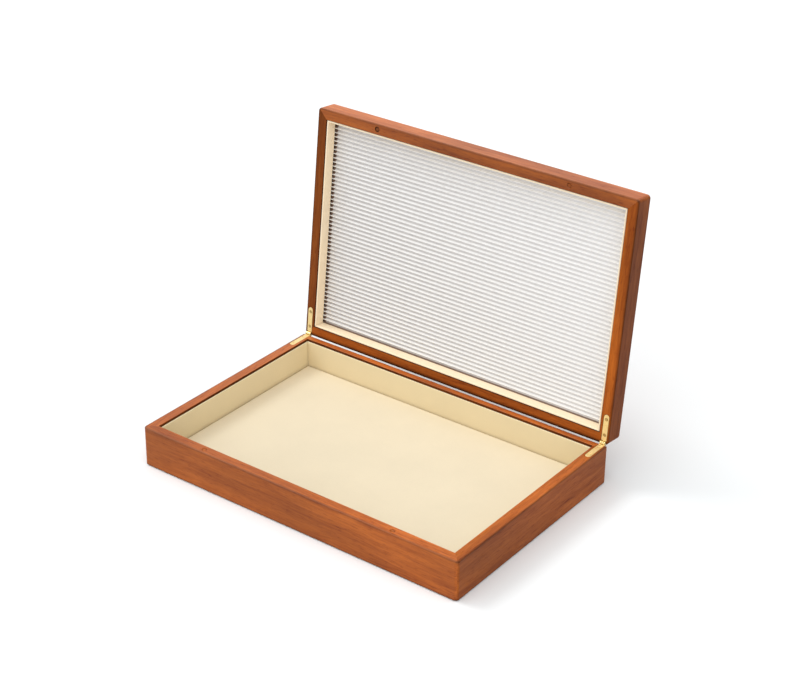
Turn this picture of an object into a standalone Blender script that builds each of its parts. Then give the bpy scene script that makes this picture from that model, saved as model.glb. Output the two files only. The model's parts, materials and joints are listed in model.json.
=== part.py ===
"""A flat wooden jewelry box with one hinged lid, standing open.

Metres, +Z up. The origin is the middle of the felt that the box rests on, +X is the box's right and +Y its back.
The lid is modelled closed and then turned open about the hinge pins, which is how the box stands at rest.
"""

import math

import bmesh
import bpy
from mathutils import Matrix, Vector

# Overall sizes
CHEST_WIDTH = 0.330
CHEST_DEPTH = 0.220
BASE_HEIGHT = 0.037
LID_HEIGHT = 0.0206
LID_OPEN_ANGLE = math.radians(96)

# Clearances
PIECE_GAP = 0.0003
PIN_CLEARANCE = 0.00005
RIM_GAP = 0.0009
CUT_OVERRUN = 0.003
WELD_DISTANCE = 0.000001

# Rails of the base and the lid
RAIL_THICKNESS = 0.0097
CORNER_ROUND = 0.0035
CORNER_SEGMENTS = 6
EDGE_ROUND = 0.001
LID_TOP_ROUND = 0.0028
EDGE_SEGMENTS = 4
HINGE_EDGE_ROUND = 0.0045
HINGE_EDGE_SEGMENTS = 8
REBATE_WIDTH = 0.004

# Boards and felt
FELT_THICKNESS = 0.0008
FELT_PROJECTION = 0.0005
BOTTOM_BOARD_THICKNESS = 0.003
PAD_BOARD_THICKNESS = 0.002
LID_PANEL_THICKNESS = 0.004
LID_PANEL_EDGE_ROUND = 0.0004
PANEL_EDGE_SEGMENTS = 2

# Linings, which stop below the rims
LINER_THICKNESS = 0.0015
BASE_LINER_DROP = 0.0018
LID_LINER_DROP = 0.0004
LINER_EDGE_ROUND = 0.0004
LINER_EDGE_SEGMENTS = 2

# Tray cushion
PAD_EDGE_HEIGHT = 0.0113
PAD_CROWN = 0.0007
PAD_EDGE_ROUND = 0.0022
PAD_SIDE_DRAW = 0.0006
PAD_CELLS_ACROSS = 14
PAD_CELLS_DEEP = 10
PAD_CELLS_HIGH = 2
PAD_SMOOTHING = 1

# Fluted panel in the lid
FLUTED_PANEL_THICKNESS = 0.0054
FLUTE_PITCH = 0.003955
FLUTE_START = 0.0012
FLUTE_DEPTH = 0.003
FLUTE_WIDTH_SHARE = 0.88
FLUTE_SEGMENTS = 8

# Hinges, let in along the side rails
HINGE_AXIS_INSET = 0.0013
HINGE_SIDE_INSET = 0.0045
LEAF_WIDTH = 0.005
LEAF_REACH = 0.0275
LEAF_END_SEGMENTS = 16
KNUCKLE_RADIUS = 0.002
KNUCKLE_WIDTH = 0.0014
KNUCKLE_SIDES = 24
PIN_RADIUS = 0.0006
PIN_SIDES = 16

# Countersunk screws in the hinge leaves
SCREW_HEAD_RADIUS = 0.0014
SCREW_SHANK_RADIUS = 0.0007
SCREW_LENGTH = 0.008
SCREW_TIP_LENGTH = 0.0016
SCREW_SINK = 0.0001
SCREW_SLOT_WIDTH = 0.0004
SCREW_SLOT_DEPTH = 0.0003
SCREW_SIDES = 16
SCREW_END_DISTANCE = 0.0045
SCREW_BACK_DISTANCE = 0.0085

# Hidden magnets and the wooden plugs over them
MAGNET_SPACING = 0.198
MAGNET_RADIUS = 0.00175
MAGNET_HEIGHT = 0.003
PLUG_HEIGHT = 0.0012
PLUG_SINK = 0.0003
MAGNET_SIDES = 24

# Shading
SHARP_ANGLE = math.radians(32)

# Heights, worked out from the sizes above
RAIL_BOTTOM = FELT_PROJECTION
BASE_RIM = RAIL_BOTTOM + BASE_HEIGHT
LID_RIM = BASE_RIM + RIM_GAP
LID_TOP = LID_RIM + LID_HEIGHT
BOTTOM_BOARD_BASE = FELT_THICKNESS + PIECE_GAP
BOTTOM_BOARD_TOP = BOTTOM_BOARD_BASE + BOTTOM_BOARD_THICKNESS
BASE_REBATE_TOP = BOTTOM_BOARD_TOP + PIECE_GAP
PAD_BOARD_TOP = BASE_REBATE_TOP + PAD_BOARD_THICKNESS
PAD_BASE = PAD_BOARD_TOP + PIECE_GAP
PAD_EDGE_TOP = RAIL_BOTTOM + PAD_EDGE_HEIGHT
LID_PANEL_BASE = LID_TOP - LID_PANEL_THICKNESS
LID_REBATE_BASE = LID_PANEL_BASE - PIECE_GAP
BASE_LINER_TOP = BASE_RIM - BASE_LINER_DROP
LID_LINER_BASE = LID_RIM + LID_LINER_DROP
FLUTED_PANEL_BACK = LID_PANEL_BASE - PIECE_GAP
RIDGE_LEVEL = FLUTED_PANEL_BACK - FLUTED_PANEL_THICKNESS
LID_LINER_TOP = RIDGE_LEVEL - PIECE_GAP

# Distances in from the outer faces, worked out from the sizes above
BOARD_INSET = RAIL_THICKNESS - REBATE_WIDTH + PIECE_GAP
LINER_OUTER_INSET = RAIL_THICKNESS + PIECE_GAP
LINER_INNER_INSET = LINER_OUTER_INSET + LINER_THICKNESS
PAD_INSET = LINER_INNER_INSET + PIECE_GAP
MITRE_SLIT = PIECE_GAP * math.sqrt(0.5)

# Hinge places, worked out from the sizes above
AXIS_BACK = CHEST_DEPTH / 2 - HINGE_AXIS_INSET
AXIS_HEIGHT = BASE_RIM + RIM_GAP / 2
HINGE_OFFSET = CHEST_WIDTH / 2 - HINGE_SIDE_INSET
LEAF_THICKNESS = KNUCKLE_RADIUS - RIM_GAP / 2
LEAF_LENGTH = LEAF_REACH - HINGE_AXIS_INSET
LEAF_FACE = -RIM_GAP / 2
CENTRE_KNUCKLE_WIDTH = LEAF_WIDTH - 2 * KNUCKLE_WIDTH - 2 * PIECE_GAP
SCREW_PLACES = {"front": SCREW_END_DISTANCE - LEAF_LENGTH, "rear": HINGE_AXIS_INSET - SCREW_BACK_DISTANCE}

# The sides, in the order in which quarter turns about Z bring a bar to them from the front
SIDES = ("front", "right", "back", "left")
QUARTER_TURN = Matrix(((0, -1, 0, 0), (1, 0, 0, 0), (0, 0, 1, 0), (0, 0, 0, 1)))
HINGE_SIDES = {"left": -HINGE_OFFSET, "right": HINGE_OFFSET}
MAGNET_PLACES = {"left": -MAGNET_SPACING / 2, "right": MAGNET_SPACING / 2}

# Colours as linear red, green and blue, with roughness and metallic value
FINISHES = {
    "oiled_wood": ((0.36, 0.115, 0.035), 0.42, 0.0),
    "board": ((0.42, 0.27, 0.14), 0.75, 0.0),
    "lining": ((0.71, 0.56, 0.34), 0.7, 0.0),
    "cushion": ((0.88, 0.76, 0.55), 0.9, 0.0),
    "felt": ((0.05, 0.035, 0.03), 0.95, 0.0),
    "fluted_white": ((0.8, 0.78, 0.74), 0.35, 0.0),
    "brass": ((0.78, 0.6, 0.28), 0.3, 1.0),
    "steel": ((0.6, 0.6, 0.6), 0.3, 1.0),
}


def clear_scene():
    """Remove whatever the scene holds, and return new collections for the parts and for their cutters."""
    for old in list(bpy.data.objects):
        bpy.data.objects.remove(old, do_unlink=True)
    parts = bpy.data.collections.new("jewelry_chest")
    cutters = bpy.data.collections.new("cutters")
    for collection in (parts, cutters):
        bpy.context.scene.collection.children.link(collection)
    return parts, cutters


def make_materials():
    """Return one Principled BSDF material for each finish."""
    materials = {}
    for name, (colour, roughness, metallic) in FINISHES.items():
        material = bpy.data.materials.new(name)
        material.use_nodes = True
        shader = material.node_tree.nodes["Principled BSDF"]
        shader.inputs["Base Color"].default_value = (*colour, 1)
        shader.inputs["Roughness"].default_value = roughness
        shader.inputs["Metallic"].default_value = metallic
        materials[name] = material
    return materials


PARTS, CUTTERS = clear_scene()
MATERIALS = make_materials()


def add_object(name, mesh, collection, pivot=None, location=(0, 0, 0)):
    """Add an object; one that hangs on the pivot is placed so that its mesh stays in the closed box's frame."""
    added = bpy.data.objects.new(name, mesh)
    collection.objects.link(added)
    added.location = location
    if pivot:
        added.parent = pivot
        added.location -= pivot.location
    return added


def add_part(name, mesh, finish, pivot=None, location=(0, 0, 0)):
    """Add a named sub-part with its finish."""
    part = add_object(name, mesh, PARTS, pivot, location)
    mesh.materials.clear()
    mesh.materials.append(MATERIALS[finish])
    return part


def add_cutter(name, mesh, pivot=None, location=(0, 0, 0)):
    """Add a cutter, which is drawn as a wire and never rendered."""
    cutter = add_object(name, mesh, CUTTERS, pivot, location)
    cutter.hide_render = True
    cutter.display_type = "WIRE"
    return cutter


def carve(part, cutter, operation="DIFFERENCE"):
    """Cut, join or intersect a part with another object."""
    boolean = part.modifiers.new(cutter.name, "BOOLEAN")
    boolean.operation = operation
    boolean.object = cutter
    boolean.solver = "EXACT"


def mesh_from(bm, name):
    """Turn an edited mesh into mesh data."""
    mesh = bpy.data.meshes.new(name)
    bm.to_mesh(mesh)
    bm.free()
    return mesh


def block(width, depth, bottom, top):
    """Return a box centred on the Z axis, as a mesh that can be edited."""
    bm = bmesh.new()
    bmesh.ops.create_cube(bm, size=1)
    bmesh.ops.scale(bm, vec=(width, depth, top - bottom), verts=bm.verts)
    bmesh.ops.translate(bm, vec=(0, 0, (bottom + top) / 2), verts=bm.verts)
    return bm


def block_mesh(name, width, depth, bottom, top):
    """Return a plain box centred on the Z axis."""
    return mesh_from(block(width, depth, bottom, top), name)


def inset_block(name, inset, bottom, top):
    """Return a plain box that lies a distance in from the chest's outer faces."""
    return block_mesh(name, CHEST_WIDTH - 2 * inset, CHEST_DEPTH - 2 * inset, bottom, top)


def cylinder(radius, bottom, top, sides):
    """Return an upright cylinder, as a mesh that can be edited."""
    bm = bmesh.new()
    bmesh.ops.create_cone(
        bm, cap_ends=True, segments=sides, radius1=radius, radius2=radius, depth=top - bottom)
    bmesh.ops.translate(bm, vec=(0, 0, (bottom + top) / 2), verts=bm.verts)
    return bm


def round_edges(bm, edges, width, segments):
    """Round the edges given."""
    bmesh.ops.bevel(
        bm, geom=edges, offset=width, offset_type="OFFSET", segments=segments, profile=0.5, affect="EDGES")


def edges_at(bm, height):
    """Return the edges that lie at one height."""
    return [
        edge for edge in bm.edges
        if all(abs(vertex.co.z - height) < WELD_DISTANCE for vertex in edge.verts)
    ]


def upright_edges(bm):
    """Return the edges that run straight up."""
    return [
        edge for edge in bm.edges
        if (edge.verts[0].co - edge.verts[1].co).xy.length < WELD_DISTANCE
    ]


def plate(name, outline, thickness):
    """Return a flat outline with a thickness, lying half above and half below the XY plane."""
    curve = bpy.data.curves.new(name, "CURVE")
    curve.dimensions = "2D"
    curve.fill_mode = "BOTH"
    curve.extrude = thickness / 2
    spline = curve.splines.new("POLY")
    spline.points.add(len(outline) - 1)
    for point, (across, along) in zip(spline.points, outline):
        point.co = (across, along, 0, 1)
    spline.use_cyclic_u = True
    holder = bpy.data.objects.new(name, curve)
    CUTTERS.objects.link(holder)
    bpy.context.view_layer.update()
    drawn = holder.evaluated_get(bpy.context.evaluated_depsgraph_get())
    bm = bmesh.new()
    bm.from_mesh(bpy.data.meshes.new_from_object(drawn))
    bmesh.ops.remove_doubles(bm, verts=bm.verts, dist=WELD_DISTANCE)
    bpy.data.objects.remove(holder, do_unlink=True)
    return bm


def arc(centre, radius, start, end, segments):
    """Return the points of an arc, both ends included."""
    angles = [start + (end - start) * step / segments for step in range(segments + 1)]
    return [(centre[0] + radius * math.cos(angle), centre[1] + radius * math.sin(angle)) for angle in angles]


def runs_deep(side):
    """Tell whether a bar on this side runs from front to back."""
    return side in ("left", "right")


def side_matrix(side):
    """Return the matrix that brings a bar at the front, outer face on the XZ plane, to its side of the chest."""
    reach = CHEST_WIDTH if runs_deep(side) else CHEST_DEPTH
    matrix = Matrix.Translation((0, -reach / 2, 0))
    for _ in range(SIDES.index(side)):
        matrix = QUARTER_TURN @ matrix
    return matrix


def mitred_bar(side, outer_inset, inner_inset, bottom, top, edge_height=None):
    """Return a bar between two distances in from the outer face, mitred at both ends, as an editable mesh.

    Where edge_height is given, the two long edges at that height are rounded.
    """
    length = CHEST_DEPTH if runs_deep(side) else CHEST_WIDTH
    bm = bmesh.new()
    bmesh.ops.create_cube(bm, size=1)
    for vertex in bm.verts:
        inset = outer_inset if vertex.co.y < 0 else inner_inset
        vertex.co.x = math.copysign(length / 2 - inset - MITRE_SLIT, vertex.co.x)
        vertex.co.y = inset
        vertex.co.z = bottom if vertex.co.z < 0 else top
    if edge_height is not None:
        long_edges = [
            edge for edge in edges_at(bm, edge_height)
            if abs(edge.verts[0].co.y - edge.verts[1].co.y) < WELD_DISTANCE
        ]
        round_edges(bm, long_edges, LINER_EDGE_ROUND, LINER_EDGE_SEGMENTS)
    bm.transform(side_matrix(side))
    return bm


def rounded_frame(bottom, top, bottom_round, top_round):
    """Return the outer shape of the rails together, with its corners and edges rounded, as an editable mesh."""
    bm = block(CHEST_WIDTH, CHEST_DEPTH, bottom, top)
    round_edges(bm, upright_edges(bm), CORNER_ROUND, CORNER_SEGMENTS)
    round_edges(bm, edges_at(bm, bottom), bottom_round, EDGE_SEGMENTS)
    round_edges(bm, edges_at(bm, top), top_round, EDGE_SEGMENTS)
    return bm


def hinge_edge_cutter():
    """Add the cutter that rounds the back edge of the base's rim, which gives the opening lid its room."""
    name = "base_hinge_edge"
    back = CHEST_DEPTH / 2
    centre = (back - HINGE_EDGE_ROUND, BASE_RIM - HINGE_EDGE_ROUND)
    outline = arc(centre, HINGE_EDGE_ROUND, 0, math.pi / 2, HINGE_EDGE_SEGMENTS)
    outline.append((centre[0], BASE_RIM + CUT_OVERRUN))
    outline.append((back + CUT_OVERRUN, BASE_RIM + CUT_OVERRUN))
    outline.append((back + CUT_OVERRUN, centre[1]))
    bm = plate(name, outline, CHEST_WIDTH + 2 * CUT_OVERRUN)
    bm.transform(profile_matrix())
    return add_cutter(name, mesh_from(bm, name))


def profile_matrix():
    """Return the matrix that stands an outline up: its X becomes the chest's Y, its Y the chest's Z."""
    return Matrix(((0, 0, 1, 0), (1, 0, 0, 0), (0, 1, 0, 0), (0, 0, 0, 1)))


def leaf_outline(clearance, back):
    """Return the outline of a hinge leaf about the hinge's axis, with a round end and a clearance around it."""
    half_width = LEAF_WIDTH / 2 + clearance
    end_centre = (0, LEAF_WIDTH / 2 - LEAF_LENGTH)
    outline = arc(end_centre, half_width, math.pi, 2 * math.pi, LEAF_END_SEGMENTS)
    return outline + [(half_width, back), (-half_width, back)]


def leaf_turn(is_lid):
    """Return the turn about Y that puts a leaf above the axis for the lid, and below it for the base."""
    return math.pi if is_lid else 0


def hinge_location(hinge):
    """Return the middle of a hinge's pin, with the lid closed."""
    return Vector((HINGE_SIDES[hinge], AXIS_BACK, AXIS_HEIGHT))


def add_hinge_cutters(prefix, is_lid, pivot):
    """Add the mortises and pilot holes for both hinges of the base or the lid, and return them by hinge."""
    floor = KNUCKLE_RADIUS + PIECE_GAP
    back = HINGE_AXIS_INSET + CUT_OVERRUN
    found = {}
    for hinge in HINGE_SIDES:
        bm = plate("mortise", leaf_outline(PIECE_GAP, back), floor + CUT_OVERRUN)
        bmesh.ops.translate(bm, vec=(0, 0, (CUT_OVERRUN - floor) / 2), verts=bm.verts)
        cutters = [(f"{prefix}_{hinge}_mortise", bm)]
        for place, along in SCREW_PLACES.items():
            depth = SCREW_SINK + SCREW_LENGTH + PIECE_GAP - LEAF_FACE
            hole = cylinder(SCREW_SHANK_RADIUS + PIECE_GAP, -depth, 0, SCREW_SIDES)
            bmesh.ops.translate(hole, vec=(0, along, 0), verts=hole.verts)
            cutters.append((f"{prefix}_{hinge}_{place}_pilot_hole", hole))
        found[hinge] = []
        for name, mesh in cutters:
            cutter = add_cutter(name, mesh_from(mesh, name), pivot, hinge_location(hinge))
            cutter.rotation_euler.y = leaf_turn(is_lid)
            found[hinge].append(cutter)
    return found


def add_magnet_cutters(prefix, rim, direction, pivot=None):
    """Add the blind holes for the magnets; direction is up or down, from the wood to the gap."""
    depth = PLUG_SINK + PLUG_HEIGHT + PIECE_GAP + MAGNET_HEIGHT + PIECE_GAP
    ends = sorted((rim - direction * depth, rim + direction * CUT_OVERRUN))
    found = []
    for place, across in MAGNET_PLACES.items():
        name = f"{prefix}_{place}_magnet_hole"
        bm = cylinder(MAGNET_RADIUS + PIECE_GAP, *ends, MAGNET_SIDES)
        location = (across, (RAIL_THICKNESS - CHEST_DEPTH) / 2, 0)
        found.append(add_cutter(name, mesh_from(bm, name), pivot, location))
    return found


def add_rails(prefix, frame, shared_cutters, hinge_cutters, magnet_cutters, edge_cutter=None, pivot=None):
    """Add the four mitred rails, each cut out of the rounded frame and then carved for what it holds."""
    outer = mesh_from(frame, prefix)
    heights = [vertex.co.z for vertex in outer.vertices]
    for side in SIDES:
        name = f"{prefix}_{side}_rail"
        rail = add_part(name, outer.copy(), "oiled_wood", pivot)
        reach = (min(heights) - CUT_OVERRUN, max(heights) + CUT_OVERRUN)
        wedge = mesh_from(mitred_bar(side, -CUT_OVERRUN, RAIL_THICKNESS, *reach), name)
        carve(rail, add_cutter(f"{name}_wedge", wedge, pivot), "INTERSECT")
        for cutter in shared_cutters:
            carve(rail, cutter)
        for hinge, cutters in hinge_cutters.items():
            if side in (hinge, "back"):
                carve(rail, cutters[0])
            if side == hinge:
                carve(rail, cutters[1])
                carve(rail, cutters[2])
        if side == "front":
            for cutter in magnet_cutters:
                carve(rail, cutter)
        if edge_cutter and side != "front":
            carve(rail, edge_cutter)


def add_magnets(prefix, rim, direction, pivot=None):
    """Add the magnets and the wooden plugs that hide them."""
    plug_face = rim - direction * PLUG_SINK
    plug_back = plug_face - direction * PLUG_HEIGHT
    magnet_face = plug_back - direction * PIECE_GAP
    magnet_back = magnet_face - direction * MAGNET_HEIGHT
    for place, across in MAGNET_PLACES.items():
        location = (across, (RAIL_THICKNESS - CHEST_DEPTH) / 2, 0)
        magnet = cylinder(MAGNET_RADIUS, *sorted((magnet_face, magnet_back)), MAGNET_SIDES)
        add_part(f"{prefix}_{place}_magnet", mesh_from(magnet, "magnet"), "steel", pivot, location)
        plug = cylinder(MAGNET_RADIUS, *sorted((plug_face, plug_back)), MAGNET_SIDES)
        add_part(f"{prefix}_{place}_magnet_plug", mesh_from(plug, "plug"), "oiled_wood", pivot, location)


def add_base_rails():
    """Add the base's rails, with a rebate below for the bottom board and mortises above for the hinges."""
    frame = rounded_frame(RAIL_BOTTOM, BASE_RIM, EDGE_ROUND, EDGE_ROUND)
    rebate_inset = RAIL_THICKNESS - REBATE_WIDTH
    rebate = inset_block("base_rebate", rebate_inset, RAIL_BOTTOM - CUT_OVERRUN, BASE_REBATE_TOP)
    add_rails(
        "base",
        frame,
        [add_cutter("base_rebate", rebate)],
        add_hinge_cutters("base", False, None),
        add_magnet_cutters("base", BASE_RIM, 1),
        hinge_edge_cutter(),
    )


def add_lid_rails(pivot):
    """Add the lid's rails, with a rebate above for the top panel and mortises below for the hinges."""
    frame = rounded_frame(LID_RIM, LID_TOP, EDGE_ROUND, LID_TOP_ROUND)
    rebate_inset = RAIL_THICKNESS - REBATE_WIDTH
    rebate = inset_block("lid_rebate", rebate_inset, LID_REBATE_BASE, LID_TOP + CUT_OVERRUN)
    add_rails(
        "lid",
        frame,
        [add_cutter("lid_rebate", rebate, pivot)],
        add_hinge_cutters("lid", True, pivot),
        add_magnet_cutters("lid", LID_RIM, -1, pivot),
        pivot=pivot,
    )


def add_bottom():
    """Add the bottom board and the felt under it."""
    board = inset_block("base_bottom_board", BOARD_INSET, BOTTOM_BOARD_BASE, BOTTOM_BOARD_TOP)
    add_part("base_bottom_board", board, "board")
    felt = inset_block("underside_felt", BOARD_INSET, 0, FELT_THICKNESS)
    add_part("underside_felt", felt, "felt")


def add_linings(prefix, suffix, bottom, top, edge_height, pivot=None):
    """Add four mitred lining boards, whose edge at the rim is rounded."""
    for side in SIDES:
        name = f"{prefix}_{side}_{suffix}"
        bar = mitred_bar(side, LINER_OUTER_INSET, LINER_INNER_INSET, bottom, top, edge_height)
        add_part(name, mesh_from(bar, name), "lining", pivot)


def cell_place(share, cells, half_size, edge):
    """Return where a cage line lies: the outermost at the edge, the others spread evenly inside the edge's round."""
    if abs(share) > 1 - 1 / cells:
        return math.copysign(half_size, share)
    return share / (1 - 2 / cells) * (half_size - edge)


def add_tray_pad():
    """Add the board under the cushion and the cushion: a soft slab with a crown and drawn-in sides."""
    board = inset_block("tray_pad_board", PAD_INSET, BASE_REBATE_TOP, PAD_BOARD_TOP)
    add_part("tray_pad_board", board, "board")
    bm = bmesh.new()
    bmesh.ops.create_cube(bm, size=1)
    for axis, cells in enumerate((PAD_CELLS_ACROSS, PAD_CELLS_DEEP, PAD_CELLS_HIGH)):
        along = [
            edge for edge in bm.edges
            if abs(edge.verts[0].co[axis] - edge.verts[1].co[axis]) > WELD_DISTANCE
        ]
        bmesh.ops.subdivide_edges(bm, edges=along, cuts=cells - 1, use_grid_fill=True)
    half_width = CHEST_WIDTH / 2 - PAD_INSET
    half_depth = CHEST_DEPTH / 2 - PAD_INSET
    for vertex in bm.verts:
        across, along, level = (2 * share for share in vertex.co)
        draw = PAD_SIDE_DRAW * abs(level)
        vertex.co.x = cell_place(across, PAD_CELLS_ACROSS, half_width - draw, PAD_EDGE_ROUND)
        vertex.co.y = cell_place(along, PAD_CELLS_DEEP, half_depth - draw, PAD_EDGE_ROUND)
        crown = PAD_CROWN * (1 - across ** 2) * (1 - along ** 2)
        middle = (PAD_BASE + PAD_EDGE_TOP) / 2
        if level > 0:
            vertex.co.z = middle + (PAD_EDGE_TOP + crown - middle) * level
        else:
            vertex.co.z = middle + (middle - PAD_BASE) * level
    pad = add_part("tray_pad", mesh_from(bm, "tray_pad"), "cushion")
    smooth = pad.modifiers.new("smooth", "SUBSURF")
    smooth.levels = PAD_SMOOTHING
    smooth.render_levels = PAD_SMOOTHING


def add_lid_panel(pivot):
    """Add the panel that closes the lid's outer face, with its outer edges eased."""
    width = CHEST_WIDTH - 2 * BOARD_INSET
    depth = CHEST_DEPTH - 2 * BOARD_INSET
    bm = block(width, depth, LID_PANEL_BASE, LID_TOP)
    round_edges(bm, edges_at(bm, LID_TOP), LID_PANEL_EDGE_ROUND, PANEL_EDGE_SEGMENTS)
    add_part("lid_top_panel", mesh_from(bm, "lid_top_panel"), "oiled_wood", pivot)


def flute_points(start):
    """Return the points of one hollow flute, which runs forward from its start and is half a sine wave deep."""
    width = FLUTE_PITCH * FLUTE_WIDTH_SHARE
    points = []
    for step in range(FLUTE_SEGMENTS + 1):
        share = step / FLUTE_SEGMENTS
        points.append((start - width * share, RIDGE_LEVEL + FLUTE_DEPTH * math.sin(math.pi * share)))
    return points


def add_fluted_panel(pivot):
    """Add the panel inside the lid, whose flutes run from side to side and on under the linings."""
    half_depth = CHEST_DEPTH / 2 - LINER_OUTER_INSET
    flute_count = int((2 * half_depth - FLUTE_START) / FLUTE_PITCH)
    outline = [(half_depth, FLUTED_PANEL_BACK), (half_depth, RIDGE_LEVEL)]
    for flute in range(flute_count):
        outline += flute_points(half_depth - FLUTE_START - flute * FLUTE_PITCH)
    outline += [(-half_depth, RIDGE_LEVEL), (-half_depth, FLUTED_PANEL_BACK)]
    bm = plate("fluted_panel", outline, CHEST_WIDTH - 2 * LINER_OUTER_INSET)
    bm.transform(profile_matrix())
    add_part("fluted_panel", mesh_from(bm, "fluted_panel"), "fluted_white", pivot)


def barrel(name, radius, left, right, sides):
    """Return a cylinder along the hinge's axis between two places across the leaf, with a flat below."""
    bm = cylinder(radius, left, right, sides)
    bm.transform(Matrix.Rotation(math.pi / 2, 4, "Y") @ Matrix.Rotation(math.pi / sides, 4, "Z"))
    return mesh_from(bm, name)


def knuckle_spans(is_lid):
    """Return where the leaf's own knuckles run across it, and where the other leaf's do."""
    edge = LEAF_WIDTH / 2
    outer = [(-edge, KNUCKLE_WIDTH - edge), (edge - KNUCKLE_WIDTH, edge)]
    centre = [(-CENTRE_KNUCKLE_WIDTH / 2, CENTRE_KNUCKLE_WIDTH / 2)]
    return (centre, outer) if is_lid else (outer, centre)


def add_leaf(name, hinge, is_lid, pivot=None):
    """Add a hinge leaf: a plate with a round end, its knuckles, the pin's bore and the countersunk holes."""
    location = hinge_location(hinge)
    turn = leaf_turn(is_lid)
    bm = plate(name, leaf_outline(0, 0), LEAF_THICKNESS)
    bmesh.ops.translate(bm, vec=(0, 0, LEAF_FACE - LEAF_THICKNESS / 2), verts=bm.verts)
    leaf = add_part(name, mesh_from(bm, name), "brass", pivot, location)
    leaf.rotation_euler.y = turn

    def tool(label, mesh, operation):
        cutter = add_cutter(f"{name}_{label}", mesh, pivot, location)
        cutter.rotation_euler.y = turn
        carve(leaf, cutter, operation)

    own, others = knuckle_spans(is_lid)
    reach = KNUCKLE_RADIUS + PIECE_GAP
    for number, (left, right) in enumerate(others):
        wide_left = left - (PIECE_GAP if abs(left) < LEAF_WIDTH / 2 else CUT_OVERRUN)
        wide_right = right + (PIECE_GAP if abs(right) < LEAF_WIDTH / 2 else CUT_OVERRUN)
        notch = block(wide_right - wide_left, 2 * reach, -reach - CUT_OVERRUN, CUT_OVERRUN)
        bmesh.ops.translate(notch, vec=((wide_left + wide_right) / 2, 0, 0), verts=notch.verts)
        tool(f"notch_{number}", mesh_from(notch, "notch"), "DIFFERENCE")
    for number, (left, right) in enumerate(own):
        tool(f"knuckle_{number}", barrel("knuckle", KNUCKLE_RADIUS, left, right, KNUCKLE_SIDES), "UNION")
    half_bore = LEAF_WIDTH / 2 + CUT_OVERRUN
    tool("bore", barrel("bore", PIN_RADIUS + PIN_CLEARANCE, -half_bore, half_bore, PIN_SIDES), "DIFFERENCE")
    for place, along in SCREW_PLACES.items():
        seat = screw_profile(PIECE_GAP, LEAF_THICKNESS + CUT_OVERRUN, CUT_OVERRUN)
        hole = turned(seat, SCREW_SIDES)
        bmesh.ops.translate(hole, vec=(0, along, LEAF_FACE - SCREW_SINK), verts=hole.verts)
        tool(f"{place}_screw_hole", mesh_from(hole, "screw_hole"), "DIFFERENCE")


def screw_profile(clearance, length, rise):
    """Return the outer side of a countersunk screw or its hole, top to bottom, as distance out and height."""
    head = SCREW_HEAD_RADIUS + clearance
    shank = SCREW_SHANK_RADIUS + clearance
    profile = [(head, rise)] if rise else []
    return profile + [(head, 0), (shank, shank - head), (shank, -length)]


def turned(profile, sides):
    """Return a solid turned about Z from the outer side of its profile, closed by its end points on the axis."""
    name = "turned"
    points = [(0, profile[0][1])] + list(profile) + [(0, profile[-1][1])]
    outline = bmesh.new()
    verts = [outline.verts.new((out, 0, height)) for out, height in points]
    for first, second in zip(verts, verts[1:]):
        outline.edges.new((first, second))
    holder = bpy.data.objects.new(name, mesh_from(outline, name))
    CUTTERS.objects.link(holder)
    screw = holder.modifiers.new("turn", "SCREW")
    screw.steps = sides
    screw.render_steps = sides
    screw.use_merge_vertices = True
    screw.merge_threshold = WELD_DISTANCE
    bpy.context.view_layer.update()
    drawn = holder.evaluated_get(bpy.context.evaluated_depsgraph_get())
    bm = bmesh.new()
    bm.from_mesh(bpy.data.meshes.new_from_object(drawn))
    bmesh.ops.remove_doubles(bm, verts=bm.verts, dist=WELD_DISTANCE)
    bpy.data.objects.remove(holder, do_unlink=True)
    return bm


def screw_mesh():
    """Return a slotted countersunk screw with a pointed tip, its head's face on the XY plane."""
    profile = screw_profile(0, SCREW_LENGTH - SCREW_TIP_LENGTH, 0)
    profile.append((0, -SCREW_LENGTH))
    bm = turned(profile, SCREW_SIDES)
    body = add_cutter("screw_body", mesh_from(bm, "screw"))
    slot = block(2 * SCREW_HEAD_RADIUS + CUT_OVERRUN, SCREW_SLOT_WIDTH, -SCREW_SLOT_DEPTH, CUT_OVERRUN)
    carve(body, add_cutter("screw_slot", mesh_from(slot, "slot")))
    settle(body)
    return body.data


def add_hinge(hinge, screw, pivot):
    """Add one hinge: two leaves, the pin that joins them and their screws."""
    add_leaf(f"{hinge}_hinge_base_leaf", hinge, False)
    add_leaf(f"{hinge}_hinge_lid_leaf", hinge, True, pivot)
    pin = barrel("pin", PIN_RADIUS, -LEAF_WIDTH / 2, LEAF_WIDTH / 2, PIN_SIDES)
    add_part(f"{hinge}_hinge_pin", pin, "steel", None, hinge_location(hinge))
    for body, is_lid, holder in (("base", False, None), ("lid", True, pivot)):
        direction = -1 if is_lid else 1
        for place, along in SCREW_PLACES.items():
            offset = Vector((0, along, direction * (LEAF_FACE - SCREW_SINK)))
            name = f"{hinge}_hinge_{body}_{place}_screw"
            fixed = add_part(name, screw.copy(), "brass", holder, hinge_location(hinge) + offset)
            fixed.rotation_euler.y = leaf_turn(is_lid)


def settle(part):
    """Make the part's modifiers real, and shade it smooth between its sharp edges."""
    bpy.context.view_layer.update()
    drawn = part.evaluated_get(bpy.context.evaluated_depsgraph_get())
    mesh = bpy.data.meshes.new_from_object(drawn)
    part.modifiers.clear()
    part.data = mesh
    mesh.shade_smooth()
    mesh.set_sharp_from_angle(angle=SHARP_ANGLE)


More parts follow.
